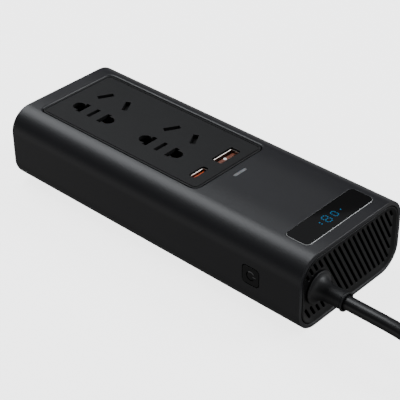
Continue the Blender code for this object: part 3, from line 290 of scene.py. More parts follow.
# Glass-filled PBT in the maker's orange and a browner one, for the USB tongues.
ORANGE_PBT = grained("orange_pbt", "#d9531e", ("#c84a1a", "#e05c26"), 2, 0.25, 0.1, (0.3, 0.42), IOR=1.55)
RUST_PBT = grained("rust_pbt", "#7c4331", ("#6a3020", "#94604e"), 5, 0.25, 0.1, (0.25, 0.36), IOR=1.55)
WHITE_PBT = grained("white_pbt", "#d8d5cf", ("#cfccc6", "#e2dfda"), 3, 0.3, 0.1, (0.35, 0.5), IOR=1.55)
# Painted highlight on the USB tongue: a pale stud that glows a little, so it stays the brightest point in the port.
PAINTED_GLINT_STUD = grained("painted_glint_white_stud", "#f2f0ec", ("#ece9e4", "#f8f6f3"), 1, 0.2, 0.02, (0.12, 0.2),
                      **{"Emission Color": (1, 1, 1, 1), "Emission Strength": 0.55})
SOLDER_MASK = grained("green_solder_mask", "#1d5c3a", ("#184f31", "#226a44"), 4, 0.8, 0.2, (0.3, 0.45), IOR=1.5)
FERRITE = grained("fired_ferrite", "#38383c", ("#303034", "#424246"), 2, 0.3, 0.3, (0.5, 0.65), IOR=1.8)
# Enamelled copper wire, wound side by side: the ring pattern is one wire of 0.6 mm.
WINDING = ringed("enamelled_copper", "#b5562c", ("#7c3517", "#c86a3a"), 0.6, 0.9, (0.25, 0.4), "Z", Metallic=0.9)
CAN_SLEEVE = grained("shrunk_pvc_sleeve", "#1a2748", ("#16213e", "#203056"), 3, 0.6, 0.08, (0.22, 0.32), IOR=1.5)
EXTRUDED_ALUMINIUM = ringed("extruded_aluminium", "#c4c6c8", ("#b4b6b8", "#d2d4d6"), 0.4, 0.15, (0.3, 0.42), "Z",
                            Metallic=1.0)
EPOXY = grained("moulded_epoxy", "#19191a", ("#161617", "#1f1f20"), 2, 0.3, 0.25, (0.5, 0.62), IOR=1.55)
ZINC_STEEL = grained("zinc_plated_steel", "#a9abad", ("#9b9da0", "#b8babc"), 1.5, 0.4, 0.1, (0.28, 0.4),
                     Metallic=1.0)
RED_PVC = grained("red_pvc", "#a31a1a", ("#951515", "#b02020"), 4, 0.5, 0.1, (0.38, 0.48), IOR=1.53)
LAMP_BLUE = grained("blue_lamp_module", "#184d8a", ("#143f72", "#1d5ba2"), 2, 0.4, 0.05, (0.25, 0.35))
CERAMIC = grained("fuse_ceramic", "#d9d5c8", ("#cfcbbd", "#e2ded2"), 2, 0.3, 0.08, (0.2, 0.32), IOR=1.6)

CAD_FINISHES = {
    "housing_abs": SLEEVE_ABS, "panel_abs": PANEL_ABS, "inner_nylon": NYLON_AND_HOLE_SHADE, "rubber_feet": RUBBER,
    "brass_contact": BRASS, "usb_shell_steel": NICKEL, "white_insulator": WHITE_PBT,
    "orange_insulator": ORANGE_PBT, "circuit_laminate": SOLDER_MASK, "light_diffuser": DIFFUSER,
    "display_acrylic": ACRYLIC, "display_lamps": LAMP_BLUE, "component_epoxy": EPOXY,
    "screw_steel": ZINC_STEEL, "ferrite": FERRITE, "enamelled_copper": WINDING,
    "capacitor_sleeve": CAN_SLEEVE, "heat_sink_aluminium": EXTRUDED_ALUMINIUM, "cord_pvc": PVC,
    "lead_black": PVC, "lead_red": RED_PVC, "plug_abs": GRILLE_ABS, "nickel_plate": TURNED_NICKEL,
    "fuse_ceramic": CERAMIC,
}


def finish_cad_nodes():
    """Every carried-over node takes the finish of its slot in the record."""
    slots = {part["node"]: part["material_slot"] for part in frame["record"]["subparts"]}
    for name, node in frame["nodes"].items():
        node.data.materials.clear()
        node.data.materials.append(CAD_FINISHES[slots[name]])


# ---- mesh helpers

SMALLEST_CORNER = 0.02 * MM


def rounded(width, height, radius, centre=(0, 0), turn=0.0, steps=10):
    """The outline(inset) of a rectangle with round corners, anticlockwise; a negative inset makes it larger."""
    def outline(inset):
        corner = max(radius - inset, SMALLEST_CORNER)
        points = []
        for side, up, start in ((1, 1, 0), (-1, 1, 90), (-1, -1, 180), (1, -1, 270)):
            for step in range(steps + 1):
                angle = math.radians(start + 90 * step / steps)
                x = side * (width / 2 - inset - corner) + corner * math.cos(angle)
                y = up * (height / 2 - inset - corner) + corner * math.sin(angle)
                points.append((centre[0] + x * math.cos(turn) - y * math.sin(turn),
                               centre[1] + x * math.sin(turn) + y * math.cos(turn)))
        return points
    return outline


def steps_from(along, radius, *steps):
    """(distance, radius) points at steps in millimetres from a first one."""
    return [(along + a * MM, radius + b * MM) for a, b in steps]


def placed(axis, point, level):
    a, b = point
    return {"X": (level, a, b), "Y": (a, level, b), "Z": (a, b, level)}[axis]


def to_object(name, bm, material=None, sharp=32):
    """A bmesh as an object at the origin, its faces turned outwards and smooth up to an angle."""
    bmesh.ops.recalc_face_normals(bm, faces=bm.faces)
    mesh = bpy.data.meshes.new(name)
    bm.to_mesh(mesh)
    bm.free()
    if material:
        mesh.materials.append(material)
    obj = bpy.data.objects.new(name, mesh)
    bpy.context.scene.collection.objects.link(obj)
    mesh.shade_smooth()
    mesh.set_sharp_from_angle(angle=math.radians(sharp))
    return obj


def skinned(name, rings, material=None, sharp=32):
    """A closed solid over rings of points. A ring of one point closes it in a tip, and others get an end face."""
    bm = bmesh.new()
    rings = [[bm.verts.new(point) for point in ring] for ring in rings]
    count = max(len(ring) for ring in rings)
    for low, high in zip(rings, rings[1:]):
        for i in range(count):
            j = (i + 1) % count
            corners = (low[i % len(low)], low[j % len(low)], high[j % len(high)], high[i % len(high)])
            bm.faces.new(list(dict.fromkeys(corners)))
    for ring in (rings[0], rings[-1]):
        if len(ring) > 1:
            bm.faces.new(ring)
    return to_object(name, bm, material, sharp)


def stack(name, axis, outline, levels, material=None, sharp=32):
    """A closed solid through outline(inset) at each (inset, level)."""
    rings = [[placed(axis, point, level) for point in outline(inset)] for inset, level in levels]
    return skinned(name, rings, material, sharp)


def round_over(radius, level, towards, steps=4):
    """(inset, level) steps of an edge rounded over up to a level; towards is 1 or -1 along the axis."""
    found = []
    for step in range(steps + 1):
        angle = math.pi / 2 * step / steps
        found.append((radius * (1 - math.cos(angle)), level - towards * radius * (1 - math.sin(angle))))
    return found


def mouth_cutter(axis, outline, mouth, depth, flare, outwards=1, steps=3):
    """A cutter whose mouth is rounded outwards at a face; outwards is the way out of the face."""
    levels = [(0, mouth - outwards * depth)]
    for step in range(steps + 1):
        angle = math.pi / 2 * step / steps
        levels.append((-flare * (1 - math.cos(angle)), mouth - outwards * flare * (1 - math.sin(angle))))
    levels.append((-flare * 1.6, mouth + outwards * flare * 0.4))
    levels.append((-flare * 1.6, mouth + outwards * 3 * MM))
    return stack("cutter", axis, outline, levels)


def baked(obj):
    """Turns what the modifiers make into the object's own mesh."""
    bpy.context.view_layer.update()
    graph = bpy.context.evaluated_depsgraph_get()
    mesh = bpy.data.meshes.new_from_object(obj.evaluated_get(graph))
    obj.modifiers.clear()
    obj.data = mesh
    return obj


def combine(obj, tools, operation="DIFFERENCE"):
    """Boolean with each tool in turn; the tools are removed."""
    for tool in tools:
        modifier = obj.modifiers.new(operation, "BOOLEAN")
        modifier.operation = operation
        modifier.solver = "EXACT"
        modifier.object = tool
    baked(obj)
    for tool in tools:
        bpy.data.objects.remove(tool, do_unlink=True)
    return obj


def settle_normals(obj, sharp=32):
    """Large flat faces keep their own direction next to small rounded edges."""
    obj.data.shade_smooth()
    obj.data.set_sharp_from_angle(angle=math.radians(sharp))
    modifier = obj.modifiers.new("weighted", "WEIGHTED_NORMAL")
    modifier.keep_sharp = True
    modifier.weight = 60
    return baked(obj)


def lathe(name, profile, start, direction, material=None, steps=64, sharp=32):
    """Turns (distance, radius) points about a line; a radius of 0 closes an end in a point."""
    turn = Vector((0, 0, 1)).rotation_difference(Vector(direction)).to_matrix().to_4x4()
    place = Matrix.Translation(Vector(start)) @ turn
    rings = []
    for distance, radius in profile:
        angles = [2 * math.pi * i / steps for i in range(1 if radius <= 0 else steps)]
        rings.append([place @ Vector((radius * math.cos(a), radius * math.sin(a), distance)) for a in angles])
    return skinned(name, rings, material, sharp)


def smooth_path(points, spacing, share=16):
    """Points a set distance apart on a smooth curve through the route's own points."""
    ends = [2 * points[0] - points[1], *points, 2 * points[-1] - points[-2]]
    fine = []
    for a, b, c, d in zip(ends, ends[1:], ends[2:], ends[3:]):
        for i in range(share):
            t = i / share
            square = (2 * a - 5 * b + 4 * c - d) * t * t
            cube = (3 * b - a - 3 * c + d) * t ** 3
            fine.append(0.5 * (2 * b + (c - a) * t + square + cube))
    fine.append(points[-1])
    total = sum((q - p).length for p, q in zip(fine, fine[1:]))
    count = max(2, round(total / spacing))
    found, gone, wanted = [fine[0]], 0.0, total / count
    for p, q in zip(fine, fine[1:]):
        step = (q - p).length
        while gone + step >= wanted * len(found) and len(found) < count:
            found.append(p.lerp(q, (wanted * len(found) - gone) / step))
        gone += step
    return [*found, fine[-1]]


def sweep(name, path, radius, material, sides=24):
    """A round tube along a path, its rings carried along without twist."""
    side = Vector((0, 0, 1))
    rings = []
    for i, point in enumerate(path):
        ahead = (path[min(i + 1, len(path) - 1)] - path[max(i - 1, 0)]).normalized()
        side = (side - ahead * side.dot(ahead)).normalized()
        other = ahead.cross(side)
        angles = [2 * math.pi * k / sides for k in range(sides)]
        rings.append([point + (side * math.cos(a) + other * math.sin(a)) * radius for a in angles])
    return skinned(name, rings, material, 60)


def place_piece(piece, body, slot, *nodes):
    """The piece moves with its body and stands for its nodes. The slot is not used."""
    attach(piece, body)
    if nodes:
        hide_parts(*nodes)
    return piece


# ---- the lead

REST = CORD_RADIUS + 0.05 * MM
HANK_LEFT = 164 * MM
HANK_RIGHT = 214 * MM
HANK_TURN = 19 * MM
TURN_STEP = 6.3 * MM
HUMP_LENGTH = 14 * MM
HUMP_HEIGHT = 1.0 * MM


def half_turn(centre_x, low, high, start, steps=14):
    """Half a circle from one side of the hank to the other, at the height of the surface."""
    radius = (high - low) / 2
    angles = [math.radians(start + 180 * step / steps) for step in range(steps + 1)]
    return [Vector((centre_x + radius * math.cos(a), (low + high) / 2 + radius * math.sin(a), REST))
            for a in angles]


def over_the_tie(point):
    """The two strands that the tie holds pass over the strap's lower half in a low hump."""
    away = max(0.0, abs(point.x - TIE_MIDDLE.x) - TIE_SIZE.x / 2) / HUMP_LENGTH
    if not TIE_LOW.y < point.y < TIE_HIGH.y or away >= 1:
        return point
    hump = 0.5 + 0.5 * math.cos(math.pi * away)
    return point + Vector((0, 0, HUMP_HEIGHT * hump))


def straight_run(y, places):
    return [Vector((x * MM, y, REST)) for x in places]


def cord_route():
    """Straight out of the strain relief, down to the surface and round the hank to the plug's boot."""
    lead = [(98.9, 19.25), (106, 19.25), (113, 19.25), (119, 19.2), (125, 18.95), (131, 18.1), (137, 16.1),
            (143, 13.0), (149, 10.2), (153, 8.6), (157, 6.9), (161, 5.4), (167, 3.95), (174, 3.25),
            (183, 3.05), (194, 3.05), (204, 3.05)]
    points = [Vector((x * MM, LEAD_Y, z * MM)) for x, z in lead]
    middle = LEAD_Y + HANK_TURN
    for turn in range(2):
        reach = HANK_TURN + turn * TURN_STEP
        points += half_turn(HANK_RIGHT, middle - reach, middle + reach, -90)
        points += straight_run(middle + reach, (204, 194, 189, 184, 174))
        points += half_turn(HANK_LEFT, middle - reach - TURN_STEP, middle + reach, 90)
        points += straight_run(middle - reach - TURN_STEP, (174, 184, 194, 204))
    low = middle - HANK_TURN - 2 * TURN_STEP
    start = HANK_RIGHT + CORD_RADIUS
    for step, point in enumerate(half_turn(start, low, PLUG_Y, -90)):
        climb = max(0.0, (step - 4) / 10) ** 1.5
        points.append(point + Vector((0, 0, (PLUG_Z - REST) * min(1.0, climb))))
    points += [Vector((BOOT_HIGH.x + 6 * MM, PLUG_Y, PLUG_Z)), Vector((BOOT_HIGH.x - 1.0 * MM, PLUG_Y, PLUG_Z))]
    return [over_the_tie(point) for point in points]


def make_cord():
    path = smooth_path(cord_route(), 2.0 * MM)
    cord = sweep("lead_cord", path, CORD_RADIUS, PVC)
    place_piece(cord, "housing", "cord_pvc", "cord_lead", "cord_hank", "cord_tail")
    return cord, path


CORD, CORD_PATH = make_cord()


# ---- repeated shapes by Geometry Nodes

def run_tree(obj, tree, values):
    """Gives the object the tree with its named inputs, then bakes what it makes into the mesh."""
    modifier = obj.modifiers.new(tree.name, "NODES")
    modifier.node_group = tree
    names = {item.name: item.identifier for item in tree.interface.items_tree
             if item.item_type == "SOCKET" and item.in_out == "INPUT"}
    for name, value in values.items():
        modifier[names[name]] = value
    return baked(obj)


def new_tree(name, **inputs):
    """(tree, the sockets of its inputs): a geometry, then the named ones, each given with its kind."""
    tree = bpy.data.node_groups.new(name, "GeometryNodeTree")
    tree.interface.new_socket("Geometry", in_out="INPUT", socket_type="NodeSocketGeometry")
    for title, kind in inputs.items():
        tree.interface.new_socket(title.replace("_", " "), in_out="INPUT", socket_type="NodeSocket" + kind)
    tree.interface.new_socket("Material", in_out="INPUT", socket_type="NodeSocketMaterial")
    tree.interface.new_socket("Geometry", in_out="OUTPUT", socket_type="NodeSocketGeometry")
    return tree, add_node(tree, "NodeGroupInput").outputs


def close_tree(tree, given, geometry):
    """Realizes the copies, gives them the material and hands them out."""
    real = add_node(tree, "GeometryNodeRealizeInstances", links={"Geometry": geometry})
    painted = add_node(tree, "GeometryNodeSetMaterial", links={"Geometry": real, "Material": given["Material"]})
    add_node(tree, "NodeGroupOutput", links={"Geometry": painted})
    return tree


def slot_tree():
    """Round-ended slot cutters on the run's middle points: each cone is pulled out by its half length."""
    tree, given = new_tree("grille_slots", Inner_Radius="Float", Mouth_Radius="Float", Depth="Float",
                           Along="Vector", Turn="Vector")
    cone = add_node(tree, "GeometryNodeMeshCone", {"Vertices": 16}, {
        "Radius Bottom": given["Inner Radius"], "Radius Top": given["Mouth Radius"], "Depth": given["Depth"]})
    turned = add_node(tree, "GeometryNodeTransform", links={"Geometry": cone, "Rotation": given["Turn"]})
    place = add_node(tree, "GeometryNodeInputPosition")
    dot = add_node(tree, "ShaderNodeVectorMath", {"operation": "DOT_PRODUCT"}, {0: place, 1: given["Along"]})
    side = calculate(tree, "SIGN", dot.outputs["Value"])
    kept = add_node(tree, "GeometryNodeStoreNamedAttribute", {"Name": "side"}, {"Geometry": turned, "Value": side})
    copies = add_node(tree, "GeometryNodeInstanceOnPoints", links={"Points": given["Geometry"], "Instance": kept})
    real = add_node(tree, "GeometryNodeRealizeInstances", links={"Geometry": copies})
    side_again = add_node(tree, "GeometryNodeInputNamedAttribute", {"Name": "side"})
    half = add_node(tree, "GeometryNodeInputNamedAttribute", {"Name": "half_run"})
    pull = calculate(tree, "MULTIPLY", side_again, half)
    shift = add_node(tree, "ShaderNodeVectorMath", {"operation": "SCALE"}, {0: given["Along"], "Scale": pull})
    moved = add_node(tree, "GeometryNodeSetPosition", links={"Geometry": real, "Offset": shift})
    return close_tree(tree, given, moved)


# Turns what lies flat so that its axis runs along X
ONTO_X = (0, math.pi / 2, 0)


def ridge_tree():
    """Long soft ridges spread evenly round an axis along X."""
    tree, given = new_tree("ridges_round_axis", Count="Int", Radius="Float", Centre="Vector", Ridge_Size="Vector")
    circle = add_node(tree, "GeometryNodeMeshCircle", links={"Vertices": given["Count"], "Radius": given["Radius"]})
    upright = add_node(tree, "GeometryNodeTransform", {"Rotation": ONTO_X}, {
        "Geometry": circle, "Translation": given["Centre"]})
    ball = add_node(tree, "GeometryNodeMeshUVSphere", {"Segments": 12, "Rings": 10, "Radius": 0.5})
    ridge = add_node(tree, "GeometryNodeTransform", links={"Geometry": ball, "Scale": given["Ridge Size"]})
    copies = add_node(tree, "GeometryNodeInstanceOnPoints", links={"Points": upright, "Instance": ridge})
    return close_tree(tree, given, copies)


def ring_tree():
    """Round rings along X that shrink or grow by the same step."""
    tree, given = new_tree("rings_along_axis", Count="Int", Pitch="Vector", Start="Vector", Radius="Float",
                           Shrink="Float", Thickness="Float")
    line = add_node(tree, "GeometryNodeMeshLine", links={
        "Count": given["Count"], "Start Location": given["Start"], "Offset": given["Pitch"]})
    circle = add_node(tree, "GeometryNodeCurvePrimitiveCircle", {"Resolution": 40}, {"Radius": given["Radius"]})
    profile = add_node(tree, "GeometryNodeCurvePrimitiveCircle", {"Resolution": 10}, {
        "Radius": given["Thickness"]})
    ring = add_node(tree, "GeometryNodeCurveToMesh", links={"Curve": circle, "Profile Curve": profile})
    upright = add_node(tree, "GeometryNodeTransform", {"Rotation": ONTO_X}, {"Geometry": ring})
    less = calculate(tree, "MULTIPLY", add_node(tree, "GeometryNodeInputIndex"), given["Shrink"])
    copies = add_node(tree, "GeometryNodeInstanceOnPoints", links={
        "Points": line, "Instance": upright, "Scale": calculate(tree, "ADD", 1.0, less)})
    return close_tree(tree, given, copies)


SLOTS = slot_tree()
RIDGES = ridge_tree()
RINGS = ring_tree()


def seed(name, points=((0, 0, 0),)):
    """An object of loose points for a tree to fill."""
    mesh = bpy.data.meshes.new(name)
    mesh.from_pydata(points, [], [])
    obj = bpy.data.objects.new(name, mesh)
    bpy.context.scene.collection.objects.link(obj)
    return obj


# ---- sleeve

sleeve_outline = rounded(2 * SIDE, TOP - UNDER, CORNER, (0, MIDDLE), steps=24)


def make_sleeve():
    front = round_over(0.35 * MM, END, 1)
    rear = [(inset, -level) for inset, level in reversed(front)]
    sleeve = stack("sleeve_shell", "X", sleeve_outline, rear + front, SLEEVE_ABS)
    eased = 0.2 * MM
    bore = [(WALL - eased, -END - WALL), (WALL - eased, -END), (WALL, -END + eased), (WALL, END - eased),
            (WALL - eased, END), (WALL - eased, END + WALL)]
    button = (BUTTON_LOW + BUTTON_HIGH) / 2
    opening = widened(PANEL_SIZE, -2 * PANEL_LIP)
    window = widened(WINDOW_SIZE, GAP)
    light = widened(LIGHT_SIZE, GAP)
    deep = 3 * WALL
    tools = [
        stack("cutter", "X", sleeve_outline, bore),
        mouth_cutter("Z", rounded(*opening.xy, PANEL_CORNER, PANEL_MIDDLE.xy), TOP, deep, 1.1 * MM, steps=7),
        mouth_cutter("Z", rounded(*window.xy, WINDOW_CORNER, WINDOW_MIDDLE.xy), TOP, deep, 0.2 * MM),
        mouth_cutter("Z", rounded(*light.xy, light.x / 2.02, LIGHT_MIDDLE.xy), TOP, deep, 0.1 * MM),
        mouth_cutter("Y", rounded(BUTTON_SIZE, BUTTON_SIZE, 2.0 * MM, (button.x, MIDDLE)),
                     -SIDE, deep, 0.18 * MM, -1),
    ]
    for number in (1, 2, 3, 4):
        low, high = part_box(f"rubber_foot_{number}")
        pad = (high.x - low.x) / 2 + GAP
        tools.append(lathe("cutter", [(0, pad), (UNDER + 0.6 * MM, pad)],
                           ((low.x + high.x) / 2, (low.y + high.y) / 2, 0), (0, 0, 1)))
    sleeve = settle_normals(combine(sleeve, tools))
    place_piece(sleeve, "housing", "housing_abs", "housing_sleeve")


# ---- outlet panel

def two_pin_hole(x, side):
    """The outline(inset) of a flat slot that widens outwards into a round pin's hole."""
    def outline(inset):
        inner = FLAT_INNER + inset
        outer = FLAT_INNER + FLAT_SLOT[0] - inset
        half = FLAT_SLOT[1] / 2 - inset
        radius = ROUND_HOLE / 2 - inset
        reach = math.acos((outer - ROUND_SIDE) / radius)
        arc = [reach * (1 - 2 * i / 24) for i in range(25)]
        points = [(outer, half), (inner, half), (inner, -half), (outer, -half)]
        points += [(ROUND_SIDE + radius * math.cos(t), -radius * math.sin(t)) for t in arc]
        return [(x + side * a, EARTH_Y + b) for a, b in points]
    return outline


def pin_cutters(x, face):
    """The five cutters of one outlet: two live slots, two round-and-flat holes and the earth slot."""
    outlines = [rounded(*EARTH_SLOT, PIN_CORNER, (x, EARTH_Y), steps=4)]
    for side in (-1, 1):
        centre = (x + side * PIN_SIDE, EARTH_Y + PIN_RISE)
        outlines.append(rounded(*PIN_SLOT, PIN_CORNER, centre, side * PIN_SPLAY, 4))
        outlines.append(two_pin_hole(x, side))
    return [mouth_cutter("Z", outline, face, 6 * MM, 0.14 * MM, steps=2) for outline in outlines]


def edge_groove(outline, face):
    """A ring-shaped cutter that leaves a fine line a little way in from the panel's edge."""
    near, far = 0.75 * MM, 1.15 * MM
    ring = stack("cutter", "Z", outline, [(near, face - 0.3 * MM), (near, face + WALL)])
    core = stack("cutter", "Z", outline, [(far, face - WALL), (far, face + 2 * WALL)])
    return combine(ring, [core])


def make_panel():
    """The recessed panel on its hidden lip, hollow below; the walls inside its holes are painted shade, in the
    black nylon.
    """
    width, length = widened(PANEL_SIZE, -2 * PANEL_LIP - 2 * GAP).xy
    centre = PANEL_MIDDLE.xy
    face, low = PANEL_HIGH.z, PANEL_LOW.z
    outline = rounded(width, length, PANEL_CORNER - GAP, centre)
    panel = stack("outlet_panel", "Z", outline, [(0, low), *round_over(0.2 * MM, face, 1)], PANEL_ABS)
    lip = stack("lip", "Z", rounded(PANEL_HIGH.x - PANEL_LOW.x, PANEL_HIGH.y - PANEL_LOW.y,
                                    PANEL_CORNER + PANEL_LIP, centre), [(0, low), (0, low + LIP_THICK)])
    combine(panel, [lip], "UNION")
    pocket = rounded(width - 3 * PANEL_LIP, length - 3 * PANEL_LIP, 2 * MM, centre)
    tools = [stack("cutter", "Z", pocket, [(0, low - WALL), (0, face - PLATE)]), edge_groove(outline, face)]
    for x in OUTLETS:
        tools += pin_cutters(x, face)
    for letter, corner in (("a", 0.85 * MM), ("c", 1.35 * MM)):
        _, _, middle, size = box_of(f"usb_{letter}_shell")
        port = rounded(*widened(size, 2 * GAP).xy, corner, middle.xy, steps=5)
        tools.append(mouth_cutter("Z", port, face, 6 * MM, 0.12 * MM, steps=2))
    panel = settle_normals(combine(panel, tools))
    panel.data.materials.append(NYLON_AND_HOLE_SHADE)
    # Painted shade: the walls sunk inside the panel's holes take the black nylon.
    for side in panel.data.polygons:
        away = side.center - PANEL_MIDDLE
        inside = abs(away.x) < width / 2 - MM and abs(side.center.y) < length / 2 - MM
        sunk = abs(side.normal.z) < 0.5 and side.center.z < face - 0.3 * MM
        side.material_index = 1 if inside and sunk else 0
    place_piece(panel, "housing", "panel_abs", "socket_panel")


# ---- USB ports

# For each port: the shell's corner, how far down its tongue stops, its contact strips, and the tongue's finish
PORTS = {"a": (0.8 * MM, 1.5 * MM, 4, RUST_PBT, "white_insulator"),
         "c": (1.3 * MM, 1.2 * MM, 9, ORANGE_PBT, "orange_insulator")}


def make_usb(letter):
    """A drawn shell set a little below the panel, its tongue with the contact strips on it."""
    corner, drop, count, tongue_material, slot_name = PORTS[letter]
    low, high, middle, size = box_of(f"usb_{letter}_shell")
    sunk = high.z - 0.4 * MM
    sheet = 0.35 * MM
    flare = 0.12 * MM
    shell = stack(f"usb_{letter}_socket", "Z", rounded(size.x, size.y, corner, middle.xy, steps=6),
                  [(0, low.z), *round_over(0.1 * MM, sunk, 1, 2)], NICKEL)
    hollow = rounded(size.x - 2 * sheet, size.y - 2 * sheet, corner - sheet, middle.xy, steps=6)
    cut = stack("cutter", "Z", hollow, [(0, low.z + 0.4 * MM), (0, sunk - flare), (-flare, sunk),
                                        (-flare, sunk + WALL)])
    shell = settle_normals(combine(shell, [cut]))
    place_piece(shell, "housing", "usb_shell_steel", f"usb_{letter}_shell")
    low, high_of_tongue, at, blade = box_of(f"usb_{letter}_tongue")
    top = high.z - drop
    tongue = stack(f"usb_{letter}_blade", "Z", rounded(blade.x, blade.y, 0.2 * MM, at.xy, steps=4),
                   [(0, low.z), *round_over(0.18 * MM, top, 1, 3)], tongue_material)
    place_piece(tongue, "housing", slot_name, f"usb_{letter}_tongue")
    if letter == "a":
        # Painted highlight: a glowing pale stud on the USB-A tongue.
        stud = steps_from(0, 0, (0, 0.75), (0.12, 0.75), (0.28, 0.6), (0.36, 0.3), (0.38, 0))
        pip = lathe("usb_a_painted_glint_stud", stud, (at.x, at.y - 0.6 * MM, top - 0.02 * MM), (0, 0, 1), PAINTED_GLINT_STUD, 24, 50)
        place_piece(pip, "housing", "white_insulator")
    pitch = blade.y / (count + 0.5)
    strip = Matrix.Diagonal((0.16 * MM, pitch * 0.55, top - low.z - 0.6 * MM, 1))
    strips = bmesh.new()
    for number in range(count):
        place = (high_of_tongue.x, at.y + (number - (count - 1) / 2) * pitch, (top + low.z) / 2)
        bmesh.ops.create_cube(strips, size=1.0, matrix=Matrix.Translation(place) @ strip)
    contacts = to_object(f"usb_{letter}_contact_strips", strips, BRASS)
    place_piece(contacts, "housing", "brass_contact")


# ---- status light and display

def make_light():
    width = LIGHT_SIZE.x
    bar = rounded(width + 0.2 * MM, LIGHT_SIZE.y + 0.2 * MM, width / 1.8, LIGHT_MIDDLE.xy, steps=8)
    light = stack("status_light_bar", "Z", bar, [(0, LIGHT_LOW.z), *round_over(0.3 * MM, TOP + 0.05 * MM, 1, 5)],
                  DIFFUSER, 50)
    place_piece(light, "housing", "light_diffuser", "status_light_pipe")


SEGMENT = 0.42 * MM
DOT = 0.55 * MM
DASH = 0.26
FIGURE_THICK = 0.02 * MM
LENS_EDGE = 0.17 * MM
# Which of the seven segments are lit: top, upper right, lower right, bottom, lower left, upper left, middle
FIGURES = {"0": "1111110", "8": "1111111"}


def figure_dashes(lit, wide, tall, left, low):
    """(row, column, size along the row, size across) of two short dashes for each lit segment of a figure."""
    half = tall / 2
    ends = [
        ((0, tall), (wide, tall)), ((wide, half), (wide, tall)), ((wide, 0), (wide, half)), ((0, 0), (wide, 0)),
        ((0, 0), (0, half)), ((0, half), (0, tall)), ((0, half), (wide, half)),
    ]
    for on, (start, end) in zip(lit, ends):
        if on == "1":
            for share in (0.3, 0.7):
                across = start[0] + (end[0] - start[0]) * share
                up = start[1] + (end[1] - start[1]) * share
                long = max(end[0] - start[0], end[1] - start[1]) * DASH
                flat = start[1] == end[1]
                yield left + across, low + up, long if flat else SEGMENT, SEGMENT if flat else long


def make_display():
    """A polished smoked window whose bevelled edge is a pale painted highlight, and lit figures that read from the
    lead's end.
    """
    face = WINDOW_HIGH.z + 0.05 * MM
    window = rounded(WINDOW_SIZE.x, WINDOW_SIZE.y, WINDOW_CORNER - 0.05 * MM, WINDOW_MIDDLE.xy, steps=14)
    lens = stack("display_lens", "Z", window, [(0, WINDOW_LOW.z), (0, face - LENS_EDGE), (LENS_EDGE, face)],
                 ACRYLIC)
    lens.data.materials.append(PAINTED_EDGE_HIGHLIGHT)
    # Painted highlight: the bevel's faces take the pale grey.
    for side in lens.data.polygons:
        side.material_index = 1 if 0.2 < side.normal.z < 0.95 else 0
    place_piece(settle_normals(lens), "housing", "display_acrylic", "display_window")
    row = WINDOW_MIDDLE.x + 2.3 * MM
    dashes = list(figure_dashes(FIGURES["8"], 2.8 * MM, 4.4 * MM, -3.7 * MM, 0.0))
    dashes += figure_dashes(FIGURES["0"], 2.1 * MM, 3.3 * MM, 1.6 * MM, 0.5 * MM)
    dashes += [(-6.4 * MM, up, DOT, DOT) for up in (1.4 * MM, 2.7 * MM)] + [(6.7 * MM, 2.2 * MM, DOT, DOT)]
    bm = bmesh.new()
    for across, up, wide, deep in dashes:
        place = Matrix.Translation((row - up, WINDOW_MIDDLE.y + across, face))
        bmesh.ops.create_cube(bm, size=1.0, matrix=place @ Matrix.Diagonal((deep, wide, FIGURE_THICK, 1)))
    figures = to_object("lit_figures", bm, LIT_SEGMENT)
    place_piece(figures, "housing", "display_lamps")


# ---- power button

MARK_RADIUS = 2.0 * MM
MARK_LINE = 0.55 * MM
MARK_START = 38
BAR_REACH = 1.85 * MM


def arc_groove(name, centre, width, end, face, depth, material=None, steps=28):
    """A bar along part of the power mark's circle, across the key's face."""
    rings = []
    for step in range(steps + 1):
        angle = math.radians(MARK_START + (end - MARK_START) * step / steps)
        rings.append([
            (centre[0] + (MARK_RADIUS + offset * width) * math.cos(angle), face - level * depth,
             centre[1] + (MARK_RADIUS + offset * width) * math.sin(angle))
            for offset, level in ((-0.5, -1), (0.5, -1), (0.5, 1), (-0.5, 1))])
    return skinned(name, rings, material)


def make_button():
    """The key with its sunk power mark, whose bar points to the lead's end."""
    centre = ((BUTTON_LOW.x + BUTTON_HIGH.x) / 2, MIDDLE)
    key = BUTTON_SIZE - 2 * GAP
    levels = [(inset, -level) for inset, level in round_over(0.15 * MM, SIDE, 1, 3)]
    flange = BUTTON_LOW.y + 2.4 * MM
    button = stack("power_key", "Y", rounded(key, key, 1.7 * MM, centre, steps=8),
                   [(0, flange + 0.9 * MM), *levels], GRILLE_ABS)
    plate = BUTTON_HIGH.x - BUTTON_LOW.x
    skirt = stack("flange", "Y", rounded(plate, plate, 2 * MM, centre, steps=8),
                  [(0, flange), (0, flange + 0.95 * MM)])
    stem = lathe("stem", [(0, 1.5 * MM), (BUTTON_HIGH.y - flange, 1.5 * MM)],
                 (centre[0], flange, centre[1]), (0, 1, 0))
    combine(button, [skirt, stem], "UNION")
    bar_centre = (centre[0] + BAR_REACH, centre[1])
    ring = arc_groove("cutter", centre, MARK_LINE, 322, -SIDE, 0.5 * MM)
    bar = stack("cutter", "Y", rounded(1.9 * MM, MARK_LINE, MARK_LINE / 2.1, bar_centre, steps=4),
                [(0, -SIDE + 0.25 * MM), (0, -SIDE - 1 * MM)])
    button = settle_normals(combine(button, [ring, bar]))
    place_piece(button, "power_button_key", "housing_abs", "power_button")
    # Painted highlight: the pale arc over the mark's upper right and the pale bar.
    arc = arc_groove("power_mark_arc", centre, MARK_LINE * 0.96, 130, -SIDE + 0.16 * MM, 0.05 * MM, PAINTED_MARK_HIGHLIGHT)
    bar = stack("power_mark_bar", "Y",
                rounded(1.86 * MM, MARK_LINE * 0.9, MARK_LINE / 2.2, bar_centre, steps=4),
                [(0, -SIDE + 0.21 * MM), (0, -SIDE + 0.11 * MM)], PAINTED_MARK_HIGHLIGHT)
    for piece in (arc, bar):
        place_piece(piece, "power_button_key", "light_diffuser")


# ---- grilles

